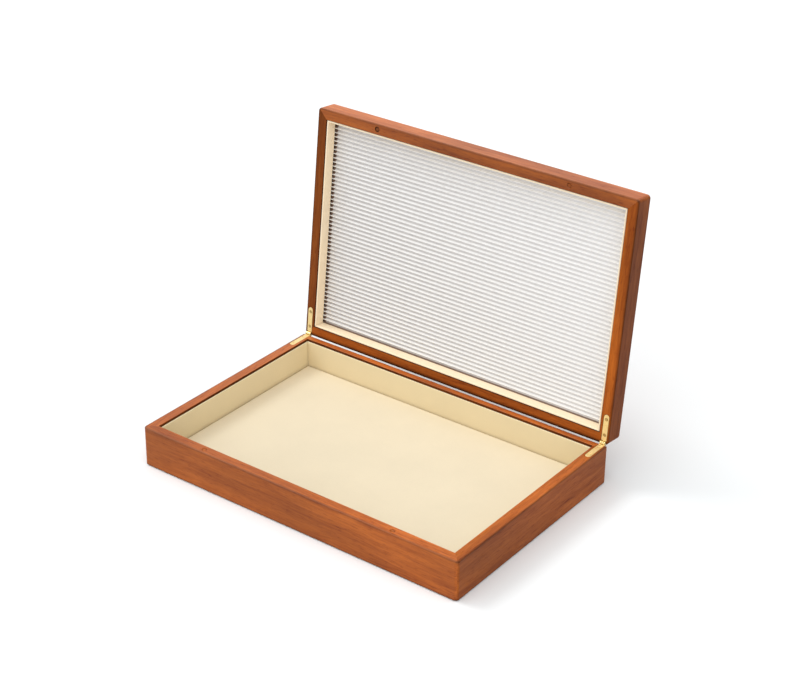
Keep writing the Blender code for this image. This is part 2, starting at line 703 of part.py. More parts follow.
def main():
    """Build the box closed, then open its lid."""
    pivot = bpy.data.objects.new("lid_pivot", None)
    PARTS.objects.link(pivot)
    pivot.location = (0, AXIS_BACK, AXIS_HEIGHT)
    bpy.context.view_layer.update()
    add_base_rails()
    add_bottom()
    add_linings("base", "liner", BASE_REBATE_TOP, BASE_LINER_TOP, BASE_LINER_TOP)
    add_tray_pad()
    add_magnets("base", BASE_RIM, 1)
    add_lid_rails(pivot)
    add_lid_panel(pivot)
    add_fluted_panel(pivot)
    add_linings("lid", "lining", LID_LINER_BASE, LID_LINER_TOP, LID_LINER_BASE, pivot)
    add_magnets("lid", LID_RIM, -1, pivot)
    screw = screw_mesh()
    for hinge in HINGE_SIDES:
        add_hinge(hinge, screw, pivot)
    for part in PARTS.objects:
        if part.type == "MESH":
            settle(part)
    pivot.rotation_euler.x = -LID_OPEN_ANGLE
    bpy.context.view_layer.update()


main()
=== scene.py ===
"""Dress the jewelry chest: its woodwork, linings, cushion, fluted panel, hinges, light and camera.

Lengths are in metres, +Z is up, +X is the chest's right and +Y its back. The lid's pieces are shaped with the
lid closed, and are then turned open about the hinge pins, because the chest stands open at rest.
"""

import json
import logging
import math
from collections.abc import Iterable
from dataclasses import dataclass, field
from enum import Enum, StrEnum
from functools import cached_property

import bmesh
import bpy
from mathutils import Matrix, Vector

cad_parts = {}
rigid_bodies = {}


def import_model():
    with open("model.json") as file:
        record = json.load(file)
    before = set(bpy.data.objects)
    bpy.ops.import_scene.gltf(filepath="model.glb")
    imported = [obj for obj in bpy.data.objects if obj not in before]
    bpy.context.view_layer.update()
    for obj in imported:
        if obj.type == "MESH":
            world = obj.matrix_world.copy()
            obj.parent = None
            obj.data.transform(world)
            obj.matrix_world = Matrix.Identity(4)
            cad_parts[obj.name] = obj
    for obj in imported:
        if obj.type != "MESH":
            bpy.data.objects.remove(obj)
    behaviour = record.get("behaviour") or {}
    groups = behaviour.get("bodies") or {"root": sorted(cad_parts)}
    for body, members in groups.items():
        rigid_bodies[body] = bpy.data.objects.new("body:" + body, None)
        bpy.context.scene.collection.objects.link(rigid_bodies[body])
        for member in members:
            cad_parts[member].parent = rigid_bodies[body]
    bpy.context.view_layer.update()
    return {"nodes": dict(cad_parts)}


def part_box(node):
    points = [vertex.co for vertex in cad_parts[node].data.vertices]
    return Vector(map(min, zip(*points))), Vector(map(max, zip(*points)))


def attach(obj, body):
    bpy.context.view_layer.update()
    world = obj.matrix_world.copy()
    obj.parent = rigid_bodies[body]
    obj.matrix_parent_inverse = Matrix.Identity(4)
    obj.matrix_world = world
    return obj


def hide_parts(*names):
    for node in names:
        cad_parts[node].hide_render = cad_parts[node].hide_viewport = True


LOG = logging.getLogger("jewelry_chest")

for leftover in list(bpy.data.objects):
    bpy.data.objects.remove(leftover, do_unlink=True)
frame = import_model()

Shape = bmesh.types.BMesh
Edge = bmesh.types.BMEdge
Vertex = bmesh.types.BMVert
Piece = bpy.types.Object
Material = bpy.types.Material
Node = bpy.types.Node
Socket = bpy.types.NodeSocket
Sockets = bpy.types.bpy_prop_collection
Source = Socket | float | tuple[float, ...]
Colour = tuple[float, float, float, float]

# Points nearer than this are one.
WELD = 1e-6
# A cutting tool reaches this far past what it cuts.
OVERRUN = 0.003
# Faces that meet at less than this shade smooth.
SMOOTH_BELOW = math.radians(32)
# A rail's inner face looks inward by more than this, and has the second material, dark wood as painted shade
# above the lining.
INWARD = 0.5
# The slot of that second material, the painted shade.
PAINTED_SHADE_SLOT = 1
# A round end takes this share of half the width, so that its two arcs just don't meet.
ROUND_END = 0.999
QUARTER_TURN = Matrix(((0, -1, 0, 0), (1, 0, 0, 0), (0, 0, 1, 0), (0, 0, 0, 1)))


class Side(Enum):
    """A side of the chest, with the quarter turns that bring a bar there from the front."""

    FRONT = 0
    RIGHT = 1
    BACK = 2
    LEFT = 3

    @property
    def label(self) -> str:
        """Return the side's name as the nodes spell it."""
        return self.name.lower()

    @property
    def way(self) -> int:
        """Return the way along X to this side: 1 for right, -1 for left and 0 for the others."""
        return {Side.RIGHT: 1, Side.LEFT: -1}.get(self, 0)

    @property
    def runs_deep(self) -> bool:
        """Tell whether a bar on this side runs from front to back."""
        return self.way != 0


class Body(StrEnum):
    """A body of the part, by the frame's name for it."""

    BASE = "base"
    LID = "lid"

    @property
    def into(self) -> int:
        """Return the way from the rim into the wood: up for the lid, down for the base."""
        return 1 if self is Body.LID else -1


class Cut(Enum):
    """What a tool does to the piece that it meets."""

    AWAY = "DIFFERENCE"
    JOIN = "UNION"


@dataclass(frozen=True)
class Tool:
    """A mesh that cuts or joins a piece, with the finish of the faces that it leaves there."""

    mesh: Shape
    cut: Cut
    finish: Material


@dataclass(frozen=True)
class ChestSizes:
    """The sizes that the base, the lid and the hinges share."""

    width: float = 0.330
    depth: float = 0.220
    base_height: float = 0.037
    lid_height: float = 0.0206
    rail: float = 0.0097
    liner: float = 0.0015
    gap: float = 0.0003
    rim_gap: float = 0.0009
    rail_bottom: float = 0.0005
    corner_round: float = 0.0035
    edge_round: float = 0.001
    lid_top_round: float = 0.0028
    hinge_edge_round: float = 0.0055
    rebate_width: float = 0.004
    mitre_joint: float = 0.00003
    axis_inset: float = 0.0013
    leaf_width: float = 0.005
    leaf_reach: float = 0.0275
    leaf_inset: float = 0.0045
    plug_spacing: float = 0.198
    open_angle: float = math.radians(96)

    @property
    def half_width(self) -> float:
        """Return half the width."""
        return self.width / 2

    @property
    def half_depth(self) -> float:
        """Return half the depth."""
        return self.depth / 2

    @property
    def base_rim(self) -> float:
        """Return the height of the base's rim."""
        return self.rail_bottom + self.base_height

    @property
    def lid_rim(self) -> float:
        """Return the height of the closed lid's rim."""
        return self.base_rim + self.rim_gap

    @property
    def lid_top(self) -> float:
        """Return the height of the closed lid's top."""
        return self.lid_rim + self.lid_height

    @property
    def front_middle(self) -> float:
        """Return the place along Y of the front rail's middle."""
        return (self.rail - self.depth) / 2

    @property
    def hinge_offset(self) -> float:
        """Return the distance along X from the chest's middle to a hinge's."""
        return self.half_width - self.leaf_inset

    @property
    def hinge_axis(self) -> Vector:
        """Return the middle of the line that the lid turns about."""
        return Vector((0, self.half_depth - self.axis_inset, self.base_rim + self.rim_gap / 2))

    @property
    def lid_turn(self) -> Matrix:
        """Return the turn that opens the lid."""
        there = Matrix.Translation(self.hinge_axis)
        return there @ Matrix.Rotation(-self.open_angle, 4, "X") @ there.inverted()

    def bar_half(self, side: Side) -> float:
        """Return half the length of the chest's side."""
        return self.half_depth if side.runs_deep else self.half_width

    def side_matrix(self, side: Side) -> Matrix:
        """Return the matrix that brings a bar at the front, outer face on the XZ plane, to its side.

        Args:
            side: The side.

        Returns:
            The matrix.
        """
        turn = Matrix.Identity(4)
        for _ in range(side.value):
            turn = QUARTER_TURN @ turn
        reach = self.half_width if side.runs_deep else self.half_depth
        return turn @ Matrix.Translation((0, -reach, 0))


SIZES = ChestSizes()


# Shapes


def slab(low: Iterable[float], high: Iterable[float]) -> Shape:
    """Return a box.

    Args:
        low: The lowest corner.
        high: The highest corner.

    Returns:
        The box as an editable mesh.
    """
    lowest, highest = Vector(low), Vector(high)
    bm = bmesh.new()
    bmesh.ops.create_cube(bm, size=1.0)
    bmesh.ops.scale(bm, vec=highest - lowest, verts=bm.verts)
    bmesh.ops.translate(bm, vec=(lowest + highest) / 2, verts=bm.verts)
    return bm


def chest_slab(inset: float, low: float, high: float) -> Shape:
    """Return a box between two levels, with its four sides a given inset inside the chest's."""
    across, deep = SIZES.half_width - inset, SIZES.half_depth - inset
    return slab((-across, -deep, low), (across, deep, high))


def rod(radius: float, length: float, segments: int, place: Matrix, upper: float | None = None) -> Shape:
    """Return a cylinder or a cut-off cone.

    Args:
        radius: Its radius, or that of its lower end.
        length: Its length.
        segments: The number of its sides.
        place: The matrix that brings it, upright and centred on the origin, to its place.
        upper: The radius of its upper end, where it tapers.

    Returns:
        The solid as an editable mesh.
    """
    bm = bmesh.new()
    bmesh.ops.create_cone(
        bm, cap_ends=True, segments=segments, radius1=radius, radius2=radius if upper is None else upper,
        depth=length, matrix=place)
    return bm


def edges_at(bm: Shape, **places: float) -> list[Edge]:
    """Return the edges whose two ends lie at given places.

    Args:
        bm: The mesh.
        **places: The place on each axis that is asked for, by the axis's name.

    Returns:
        The edges found.
    """
    def lies_there(vertex: Vertex) -> bool:
        """Tell whether a vertex is at every place that is asked for."""
        return all(abs(getattr(vertex.co, axis) - place) < WELD for axis, place in places.items())

    return [edge for edge in bm.edges if all(lies_there(vertex) for vertex in edge.verts)]


def upright_edges(bm: Shape, **places: float) -> list[Edge]:
    """Return the edges at given places that run straight up."""
    return [edge for edge in edges_at(bm, **places) if (edge.verts[0].co - edge.verts[1].co).xy.length < WELD]


def verts_in(geometry: Iterable) -> list[Vertex]:
    """Return the vertices among the vertices, edges and faces that an operator gives."""
    return [item for item in geometry if isinstance(item, Vertex)]


def ease(bm: Shape, edges: list[Edge], width: float, segments: int) -> None:
    """Round some edges.

    Args:
        bm: The mesh.
        edges: The edges to round.
        width: How far the round reaches along the faces.
        segments: How many strips make the round.
    """
    bmesh.ops.bevel(
        bm, geom=edges, offset=width, offset_type="OFFSET", segments=segments, profile=0.5, affect="EDGES",
        material=-1, clamp_overlap=True)


def trim(bm: Shape, point: Iterable[float], normal: Iterable[float]) -> None:
    """Cut away what lies beyond a plane, and close the cut.

    Args:
        bm: The mesh.
        point: A point on the plane.
        normal: The way that the plane faces, towards what goes.
    """
    geometry = bm.verts[:] + bm.edges[:] + bm.faces[:]
    result = bmesh.ops.bisect_plane(
        bm, geom=geometry, dist=WELD, plane_co=Vector(point), plane_no=Vector(normal), clear_outer=True)
    rim = [item for item in result["geom_cut"] if isinstance(item, Edge)]
    bmesh.ops.edgeloop_fill(bm, edges=rim)
    bmesh.ops.recalc_face_normals(bm, faces=bm.faces)


def mitre(bm: Shape, side: Side, slit: float) -> None:
    """Cut both ends of a bar at 45 degrees.

    Args:
        bm: The bar, at the front with its outer face on the XZ plane.
        side: The side that it is for.
        slit: How far each cut lies inside the plane through the corner.
    """
    for way in (-1, 1):
        normal = Vector((way, 1, 0)).normalized()
        trim(bm, Vector((way * SIZES.bar_half(side), 0, 0)) - normal * slit, normal)


def join(bm: Shape, path: list[Vertex]) -> list[Edge]:
    """Join each vertex of a path to the next, and return the edges."""
    return [bm.edges.new(pair) for pair in zip(path, path[1:])]


def sweep(bm: Shape, reach: float) -> None:
    """Make a solid of a closed outline by filling it and sweeping it along X.

    Args:
        bm: The mesh, which holds the outline's edges alone.
        reach: How far it is swept.
    """
    face = bmesh.ops.contextual_create(bm, geom=bm.edges[:])["faces"]
    swept = bmesh.ops.extrude_face_region(bm, geom=face)
    bmesh.ops.translate(bm, vec=(reach, 0, 0), verts=verts_in(swept["geom"]))
    bmesh.ops.recalc_face_normals(bm, faces=bm.faces)


def new_object(name: str, bm: Shape) -> Piece:
    """Make an object of an editable mesh.

    Args:
        name: The object's name.
        bm: The mesh, which is freed.

    Returns:
        The object, at the origin.
    """
    mesh = bpy.data.meshes.new(name)
    bm.to_mesh(mesh)
    bm.free()
    made = bpy.data.objects.new(name, mesh)
    bpy.context.scene.collection.objects.link(made)
    return made


def dress(piece: Piece, *materials: Material) -> None:
    """Add a piece's materials, which its faces keep their places in."""
    for material in materials:
        piece.data.materials.append(material)


def settle(piece: Piece) -> None:
    """Make a piece's modifiers real.

    Args:
        piece: The piece.
    """
    bpy.context.view_layer.update()
    drawn = piece.evaluated_get(bpy.context.evaluated_depsgraph_get())
    mesh = bpy.data.meshes.new_from_object(drawn)
    mesh.name = piece.name
    piece.modifiers.clear()
    piece.data = mesh


def carve(piece: Piece, tools: list[Tool]) -> None:
    """Cut or join a piece with tools, which are then thrown away.

    Args:
        piece: The piece to shape, which has its finish.
        tools: The tools, in the piece's own frame.
    """
    holders = []
    for number, tool in enumerate(tools):
        holder = new_object(f"{piece.name}_tool_{number}", tool.mesh)
        dress(holder, tool.finish)
        holders.append(holder)
        boolean = piece.modifiers.new(holder.name, "BOOLEAN")
        boolean.operation = tool.cut.value
        boolean.object = holder
        boolean.solver = "EXACT"
        boolean.material_mode = "TRANSFER"
    settle(piece)
    for holder in holders:
        bpy.data.objects.remove(holder, do_unlink=True)


def smooth(piece: Piece) -> None:
    """Shade a piece smooth between its sharp edges, with its broad faces kept flat.

    Args:
        piece: The piece.
    """
    piece.data.shade_smooth()
    piece.data.set_sharp_from_angle(angle=SMOOTH_BELOW)
    weighted = piece.modifiers.new("broad_faces_flat", "WEIGHTED_NORMAL")
    weighted.keep_sharp = True
    weighted.weight = 100
    settle(piece)


def hand_over(piece: Piece, body: Body, node: str) -> None:
    """Put a finished piece on its body and report it.

    Args:
        piece: The piece.
        body: The body that it moves with.
        node: The node that it stands for.
    """
    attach(piece, body.value)
    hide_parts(node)
    LOG.info("%s rides on %s, %d faces", piece.name, body, len(piece.data.polygons))


def furnish(bm: Shape, body: Body, node: str, ending: str, material: Material) -> Piece:
    """Make a finished piece of a mesh, turned open if it is the lid's, and hand it over.

    Args:
        bm: The mesh, as it lies in the closed chest.
        body: The body that it moves with.
        node: The node that it stands for.
        ending: The word that its name adds to the node's.
        material: Its material.

    Returns:
        The piece.
    """
    if body is Body.LID:
        bm.transform(SIZES.lid_turn)
    piece = new_object(f"{node}_{ending}", bm)
    smooth(piece)
    dress(piece, material)
    hand_over(piece, body, node)
    return piece


# Materials


class Wires:
    """A small helper that adds and joins the nodes of one node tree."""

    def __init__(self, tree: bpy.types.NodeTree) -> None:
        """Keep the tree."""
        self.tree = tree

    def node(self, kind: str, **values: object) -> Node:
        """Add a node.

        Args:
            kind: The node's type, without its ShaderNode prefix.
            **values: Attributes to set.

        Returns:
            The node.
        """
        added = self.tree.nodes.new(kind if kind.startswith("Node") else f"ShaderNode{kind}")
        for name, value in values.items():
            setattr(added, name, value)
        return added

    def put(self, socket: Socket, source: Source) -> None:
        """Link an output to a socket, or give the socket a value.

        Args:
            socket: The socket.
            source: The output or the value.
        """
        if isinstance(source, Socket):
            self.tree.links.new(source, socket)
        else:
            socket.default_value = source

    def feed(self, node: Node, **sources: Source) -> Node:
        """Set or link a node's inputs, named in lower case with underscores for spaces.

        Args:
            node: The node.
            **sources: Values, or the outputs to link.

        Returns:
            The same node.
        """
        for name, source in sources.items():
            wanted = name.replace("_", " ").lower()
            socket = next(item for item in node.inputs if item.name.lower() == wanted and item.enabled)
            self.put(socket, source)
        return node

    def fill(self, node: Node, sources: dict[int, Source]) -> Node:
        """Set or link a node's inputs by their numbers.

        Args:
            node: The node.
            sources: A value, or the output to link, for each number.

        Returns:
            The same node.
        """
        for number, source in sources.items():
            self.put(node.inputs[number], source)
        return node

    def noise(self, place: Source, scale: float, detail: float = 3.0, roughness: float = 0.55) -> Socket:
        """Add a noise texture and return its value."""
        values = {"vector": place, "scale": scale, "detail": detail, "roughness": roughness}
        return self.feed(self.node("TexNoise"), **values).outputs["Fac"]

    def stretch(self, place: Source, scale: tuple[float, float, float]) -> Socket:
        """Scale a vector and return it."""
        return self.feed(self.node("Mapping"), vector=place, scale=scale).outputs["Vector"]

    def axes(self, place: Source) -> tuple[Socket, ...]:
        """Split a vector and return its three parts."""
        return tuple(self.feed(self.node("SeparateXYZ"), vector=place).outputs)

    def remap(self, value: Source, low: float, high: float, start: Source = 0.0, end: Source = 1.0) -> Socket:
        """Map the range from low to high to the range from start to end, clamped, and return the value."""
        values = {"value": value, "from_min": low, "from_max": high, "to_min": start, "to_max": end}
        return self.feed(self.node("MapRange"), **values).outputs["Result"]

    def blend(self, share: Source, first: Source, second: Source, mode: str = "MIX") -> Socket:
        """Mix two colours and return the result."""
        mixed = self.node("Mix", data_type="RGBA", blend_type=mode)
        return self.fill(mixed, {0: share, 6: first, 7: second}).outputs[2]

    def vector(self, operation: str, *sources: Source) -> Socket:
        """Work on one vector or combine several, and return the result."""
        return self.fill(self.node("VectorMath", operation=operation), dict(enumerate(sources))).outputs[0]

    def maths(self, operation: str, *sources: Source) -> Socket:
        """Work on one value or combine two, and return the result."""
        return self.fill(self.node("Math", operation=operation), dict(enumerate(sources))).outputs[0]

    def add(self, first: Source, second: Source) -> Socket:
        """Add two values."""
        return self.maths("ADD", first, second)

    def times(self, first: Source, second: Source) -> Socket:
        """Multiply two values."""
        return self.maths("MULTIPLY", first, second)


class Surface(Wires):
    """A new material, with the wires of its nodes."""

    def __init__(self, name: str) -> None:
        """Make the material.

        Args:
            name: The material's name.
        """
        self.material = bpy.data.materials.new(name)
        self.material.use_nodes = True
        super().__init__(self.material.node_tree)
        self.shader = self.tree.nodes["Principled BSDF"]

    @cached_property
    def place(self) -> Socket:
        """Return the place of each point, in the piece's own frame."""
        return self.node("TexCoord").outputs["Object"]

    @cached_property
    def closed_place(self) -> Socket:
        """Return the place that each point of the open lid has when the lid is closed.

        Returns:
            The place.
        """
        angle = SIZES.open_angle
        shift = tuple(SIZES.hinge_axis - Matrix.Rotation(angle, 4, "X") @ SIZES.hinge_axis)
        turn = self.feed(self.node("Mapping"), vector=self.place, rotation=(angle, 0, 0), location=shift)
        return turn.outputs["Vector"]

    def group(self, tree: bpy.types.NodeTree, **sources: Source) -> Sockets:
        """Add a group, feed its inputs and return its outputs."""
        return self.feed(self.node("Group", node_tree=tree), **sources).outputs

    def shade(self, **sources: Source) -> None:
        """Feed the shader's inputs."""
        self.feed(self.shader, **sources)

    def bump(self, height: Socket, strength: float, distance: float) -> None:
        """Feed a height to the shader's normal, with the height of a full step in metres."""
        bump = self.feed(self.node("Bump"), height=height, strength=strength, distance=distance)
        self.shade(normal=bump.outputs["Normal"])


def new_group(name: str, inputs: dict[str, str], outputs: dict[str, str]) -> tuple[Wires, Sockets]:
    """Begin a node group.

    Args:
        name: The group's name.
        inputs: The socket type of each input, by name.
        outputs: The socket type of each output, by name.

    Returns:
        The group's wires, and what its inputs give.
    """
    tree = bpy.data.node_groups.new(name, "ShaderNodeTree")
    for way, sockets in (("INPUT", inputs), ("OUTPUT", outputs)):
        for label, kind in sockets.items():
            tree.interface.new_socket(label, in_out=way, socket_type=f"NodeSocket{kind}")
    wires = Wires(tree)
    return wires, wires.node("NodeGroupInput").outputs


def grain_group() -> bpy.types.NodeTree:
    """Build the wood grain: broad bands, fine streaks and open pores that run along X.

    Returns:
        A group from the place, two colours and the strength to a colour, a roughness and a height.
    """
    wires, given = new_group(
        "wood_grain",
        {"Place": "Vector", "Light": "Color", "Dark": "Color", "Strength": "Float"},
        {"Color": "Color", "Roughness": "Float", "Height": "Float"},
    )
    place = given["Place"]
    sway = wires.noise(wires.stretch(place, (9, 25, 25)), 1.0, 2.0)
    bent = wires.vector("MULTIPLY_ADD", sway, (0.0, 0.011, 0.011), place)
    bands = wires.noise(wires.stretch(bent, (8, 120, 120)), 1.0, 3.0, 0.6)
    streaks = wires.noise(wires.stretch(bent, (42, 560, 560)), 1.0, 4.0, 0.65)
    pores = wires.noise(wires.stretch(place, (130, 1300, 1300)), 1.0, 2.0, 0.5)
    tone = wires.noise(wires.stretch(place, (7, 16, 16)), 1.0, 1.0)
    band_share = wires.remap(bands, 0.36, 0.68)
    streak_share = wires.remap(streaks, 0.38, 0.70)
    pore_share = wires.remap(pores, 0.57, 0.70)
    figure = wires.add(wires.times(band_share, 0.55), wires.times(streak_share, 0.45))
    figure = wires.add(figure, wires.times(pore_share, 0.5))
    coloured = wires.blend(wires.times(figure, given["Strength"]), given["Light"], given["Dark"])
    toned = wires.blend(1.0, coloured, wires.remap(tone, 0.3, 0.7, 0.82, 1.18), "MULTIPLY")
    rough = wires.remap(figure, 0.0, 1.2, 0.33, 0.47)
    height = wires.add(wires.times(pore_share, -1.0), wires.times(streak_share, -0.35))
    wires.feed(wires.node("NodeGroupOutput"), color=toned, roughness=rough, height=height)
    return wires.tree


def arris_group() -> bpy.types.NodeTree:
    """Build the mask of a box's outer edges, which is one at an edge and fades inside.

    Returns:
        A group from the place, the box's middle and half size, and how steeply it fades, to the mask.
    """
    wires, given = new_group(
        "arris",
        {"Place": "Vector", "Middle": "Vector", "Half": "Vector", "Steepness": "Float"},
        {"Mask": "Float"},
    )
    away = wires.vector("ABSOLUTE", wires.vector("SUBTRACT", given["Place"], given["Middle"]))
    inside = wires.vector("SUBTRACT", given["Half"], away)
    scaled = wires.feed(wires.node("VectorMath", operation="SCALE"), vector=inside, scale=given["Steepness"])
    kept = wires.vector("MINIMUM", wires.vector("MAXIMUM", scaled.outputs[0], (0, 0, 0)), (1, 1, 1))
    across, deep, level = wires.axes(kept)
    mask = wires.remap(wires.add(wires.add(across, deep), level), 1.0, 2.0, 1.0, 0.0)
    wires.feed(wires.node("NodeGroupOutput"), mask=mask)
    return wires.tree


def nap_group() -> bpy.types.NodeTree:
    """Build the nap of suede, leather or felt: a fine pebbled height and soft clouds of colour.

    Returns:
        A group from the place, a colour, the pebbles' scale and the clouds' strength to a colour and height.
    """
    wires, given = new_group(
        "nap",
        {"Place": "Vector", "Color": "Color", "Pebbles": "Float", "Clouds": "Float"},
        {"Color": "Color", "Height": "Float"},
    )
    place = given["Place"]
    cells = wires.node("TexVoronoi", feature="SMOOTH_F1")
    wires.feed(cells, vector=place, scale=given["Pebbles"], smoothness=0.5)
    fuzz = wires.noise(place, 2600.0, 4.0, 0.7)
    clouds = wires.noise(place, 21.0, 3.0, 0.6)
    specks = wires.remap(fuzz, 0.3, 0.7, 0.965, 1.035)
    cloud = wires.remap(clouds, 0.3, 0.7, -1.0, 1.0)
    swing = wires.add(wires.times(cloud, given["Clouds"]), 1.0)
    toned = wires.blend(1.0, given["Color"], wires.times(specks, swing), "MULTIPLY")
    height = wires.add(cells.outputs["Distance"], wires.times(fuzz, 0.6))
    wires.feed(wires.node("NodeGroupOutput"), color=toned, height=height)
    return wires.tree


GRAIN = grain_group()
ARRIS = arris_group()
NAP = nap_group()


@dataclass(frozen=True)
class Board:
    """One board's own look: its place in the grain, its tone, its oil and the painted light and shade of its
    outer side.
    """

    number: int = 0
    tone: float = 1.0
    refraction: float = 1.34
    # Painted light and shade: above one the outer side is painted lighter, below one darker.
    outer_painted_light: float = 1.0


@dataclass(frozen=True)
class OiledWood:
    """Red-brown hardwood under a thin oil finish; darker edges, partly painted shade, and painted light and
    shade on its outer side.
    """

    name: str
    board: Board
    runs_deep: bool = False
    turned: bool = False
    board_step: tuple[float, float, float] = (0.37, 0.11, 0.07)
    light: tuple[float, float, float] = (0.475, 0.123, 0.015)
    dark: tuple[float, float, float] = (0.17, 0.026, 0.002)
    strength: float = 0.8
    relief: tuple[float, float] = (0.25, 0.00006)
    levels: tuple[float, float] = (SIZES.rail_bottom, SIZES.base_rim)
    # Darker outer edges: partly the arrises' own tone, partly painted shade such as the contact shadow along
    # the bottom edge.
    edge_tone: float = 0.42
    edge_reach: float = 0.003
    top_share: float = 1.0
    # Painted shade on the lid's back rail near the hinge edge, in the gap below its rim.
    hinge_tone: float = 1.0
    hinge_reach: float = 0.0042

    def make(self) -> Material:
        """Make the material.

        Returns:
            The material.
        """
        surface = Surface(self.name)
        closed = surface.closed_place if self.turned else surface.place
        number, tone = self.board.number, self.board.tone
        heading = math.pi / 2 if self.runs_deep else 0
        shift = tuple(step * number for step in self.board_step)
        along = surface.feed(surface.node("Mapping"), vector=closed, rotation=(0, 0, heading), location=shift)
        light, dark = ((*(share * tone for share in colour), 1) for colour in (self.light, self.dark))
        grain = surface.group(
            GRAIN, place=along.outputs["Vector"], light=light, dark=dark, strength=self.strength)
        kept = self.kept_share(surface, closed)
        surface.shade(base_color=surface.blend(1.0, grain["Color"], kept, "MULTIPLY"))
        surface.shade(roughness=grain["Roughness"], ior=self.board.refraction)
        surface.bump(grain["Height"], *self.relief)
        return surface.material

    def kept_share(self, surface: Surface, closed: Socket) -> Socket:
        """Return the share of its colour that the wood shows: darker edges, partly painted shade, painted
        shade at the hinge edge, painted light and shade on the outer side, and the top's share.

        Args:
            surface: The material's surface.
            closed: The place that the point has in the closed chest.

        Returns:
            The share.
        """
        low, high = self.levels
        mask = surface.group(
            ARRIS, place=closed, middle=(0, 0, (low + high) / 2), steepness=1 / self.edge_reach,
            half=(SIZES.half_width, SIZES.half_depth, (high - low) / 2))["Mask"]
        across, deep, level = surface.axes(closed)
        aside = surface.maths("SUBTRACT", surface.maths("ABSOLUTE", across), SIZES.half_width)
        along = surface.maths("SUBTRACT", surface.maths("ABSOLUTE", deep), SIZES.half_depth)
        # Darker outer edges, partly painted shade such as the contact shadow at the bottom.
        edges = surface.remap(mask, 0.3, 1.0, 1.0, self.edge_tone)
        # Painted light and shade on the outer side.
        outward = surface.maths("MAXIMUM", aside, along)
        outer = surface.remap(outward, -SIZES.edge_round, 0.0, 1.0, self.board.outer_painted_light)
        top = surface.remap(level, high - SIZES.edge_round, high, 1.0, self.top_share)
        # Painted shade near the lid's hinge edge, fading away from the rim.
        reach, back = self.hinge_reach, SIZES.half_depth
        rimward = surface.remap(level, low + reach / 4, low + reach / 2, self.hinge_tone, 1.0)
        hinge = surface.remap(deep, back - reach, back - reach / 3, 1.0, rimward)
        return surface.times(surface.times(edges, outer), surface.times(hinge, top))


@dataclass(frozen=True)
class SoftSkin:
    """A napped skin or cloth: the linings' leather, the cushion's suede or the felt."""

    name: str
    colour: Colour
    pebbles: float = 1500
    roughness: float = 0.62
    sheen: float = 0.1
    depth: float = 0.00005
    clouds: float = 0.02

    def make(self) -> Material:
        """Make the material.

        Returns:
            The material.
        """
        surface = Surface(self.name)
        place = surface.place
        nap = surface.group(NAP, place=place, color=self.colour, pebbles=self.pebbles, clouds=self.clouds)
        surface.shade(base_color=nap["Color"], roughness=self.roughness, sheen_weight=self.sheen)
        surface.shade(sheen_roughness=0.5, sheen_tint=self.colour)
        surface.bump(nap["Height"], 0.35, self.depth)
        return surface.material


@dataclass(frozen=True)
class FlutedWhite:
    """The fluted panel's satin silver white, with painted shade: dark brown where the flutes end under the
    linings and along the back lining, and a darker tone deep in the flutes.

    The painted shade in the flutes is strongest towards the lid's left side and its hinge edge.
    """

    ridge_level: float
    depth: float
    name: str = "satin_silver_white"
    colour: Colour = (0.97, 0.97, 0.97, 1)
    # Painted shade deep in the flutes.
    hollow: Colour = (0.50, 0.47, 0.455, 1)
    # Painted shade where the flutes end under the linings and along the back lining.
    pocket_shade: Colour = (0.235, 0.145, 0.10, 1)
    roughness: float = 0.32
    pocket_shade_reach: float = 0.0015
    pocket_shade_fade: float = 0.0004
    # How far in front of the back lining the painted shade line lies.
    seam: float = 0.0003
    flute_shade_depths: tuple[float, float] = (0.6, 0.8)
    pocket_shade_depths: tuple[float, float] = (0.2, 0.4)
    side_shares: tuple[float, float] = (0.82, 0.36)
    depth_shares: tuple[float, float] = (0.9, 1.25)

    def make(self) -> Material:
        """Make the material.

        Returns:
            The material.
        """
        surface = Surface(self.name)
        across, deep, level = surface.axes(surface.closed_place)
        lining = SIZES.rail + SIZES.gap + SIZES.liner
        # Painted shade deep in the flutes, strongest to the left and towards the hinge; the second mask is
        # for the flutes' ends.
        hollow, pocket_depth_share = (
            surface.remap(level, *(self.ridge_level + share * self.depth for share in depths))
            for depths in (self.flute_shade_depths, self.pocket_shade_depths))
        leftward = surface.remap(across, -SIZES.half_width, SIZES.half_width, *self.side_shares)
        hingeward = surface.remap(deep, -SIZES.half_depth, SIZES.half_depth, *self.depth_shares)
        flute_shade = surface.times(hollow, surface.times(leftward, hingeward))
        shaded = surface.blend(flute_shade, self.colour, self.hollow)
        # Painted shade where the flutes end under the side linings, and a painted shade line along the back
        # lining.
        end = SIZES.half_width - lining - self.pocket_shade_reach
        aside = surface.maths("ABSOLUTE", across)
        dash = surface.times(surface.remap(aside, end - self.pocket_shade_fade, end + self.pocket_shade_fade), pocket_depth_share)
        far = SIZES.half_depth - lining - self.seam
        seam = surface.remap(deep, far - self.pocket_shade_fade / 2, far + self.pocket_shade_fade / 2)
        pocket_shaded = surface.maths("MAXIMUM", dash, seam)
        texture = surface.noise(surface.place, 700.0, 3.0)
        surface.shade(
            base_color=surface.blend(pocket_shaded, shaded, self.pocket_shade),
            roughness=surface.remap(texture, 0.3, 0.7, self.roughness - 0.03, self.roughness + 0.05))
        surface.bump(texture, 0.08, 0.00002)
        return surface.material


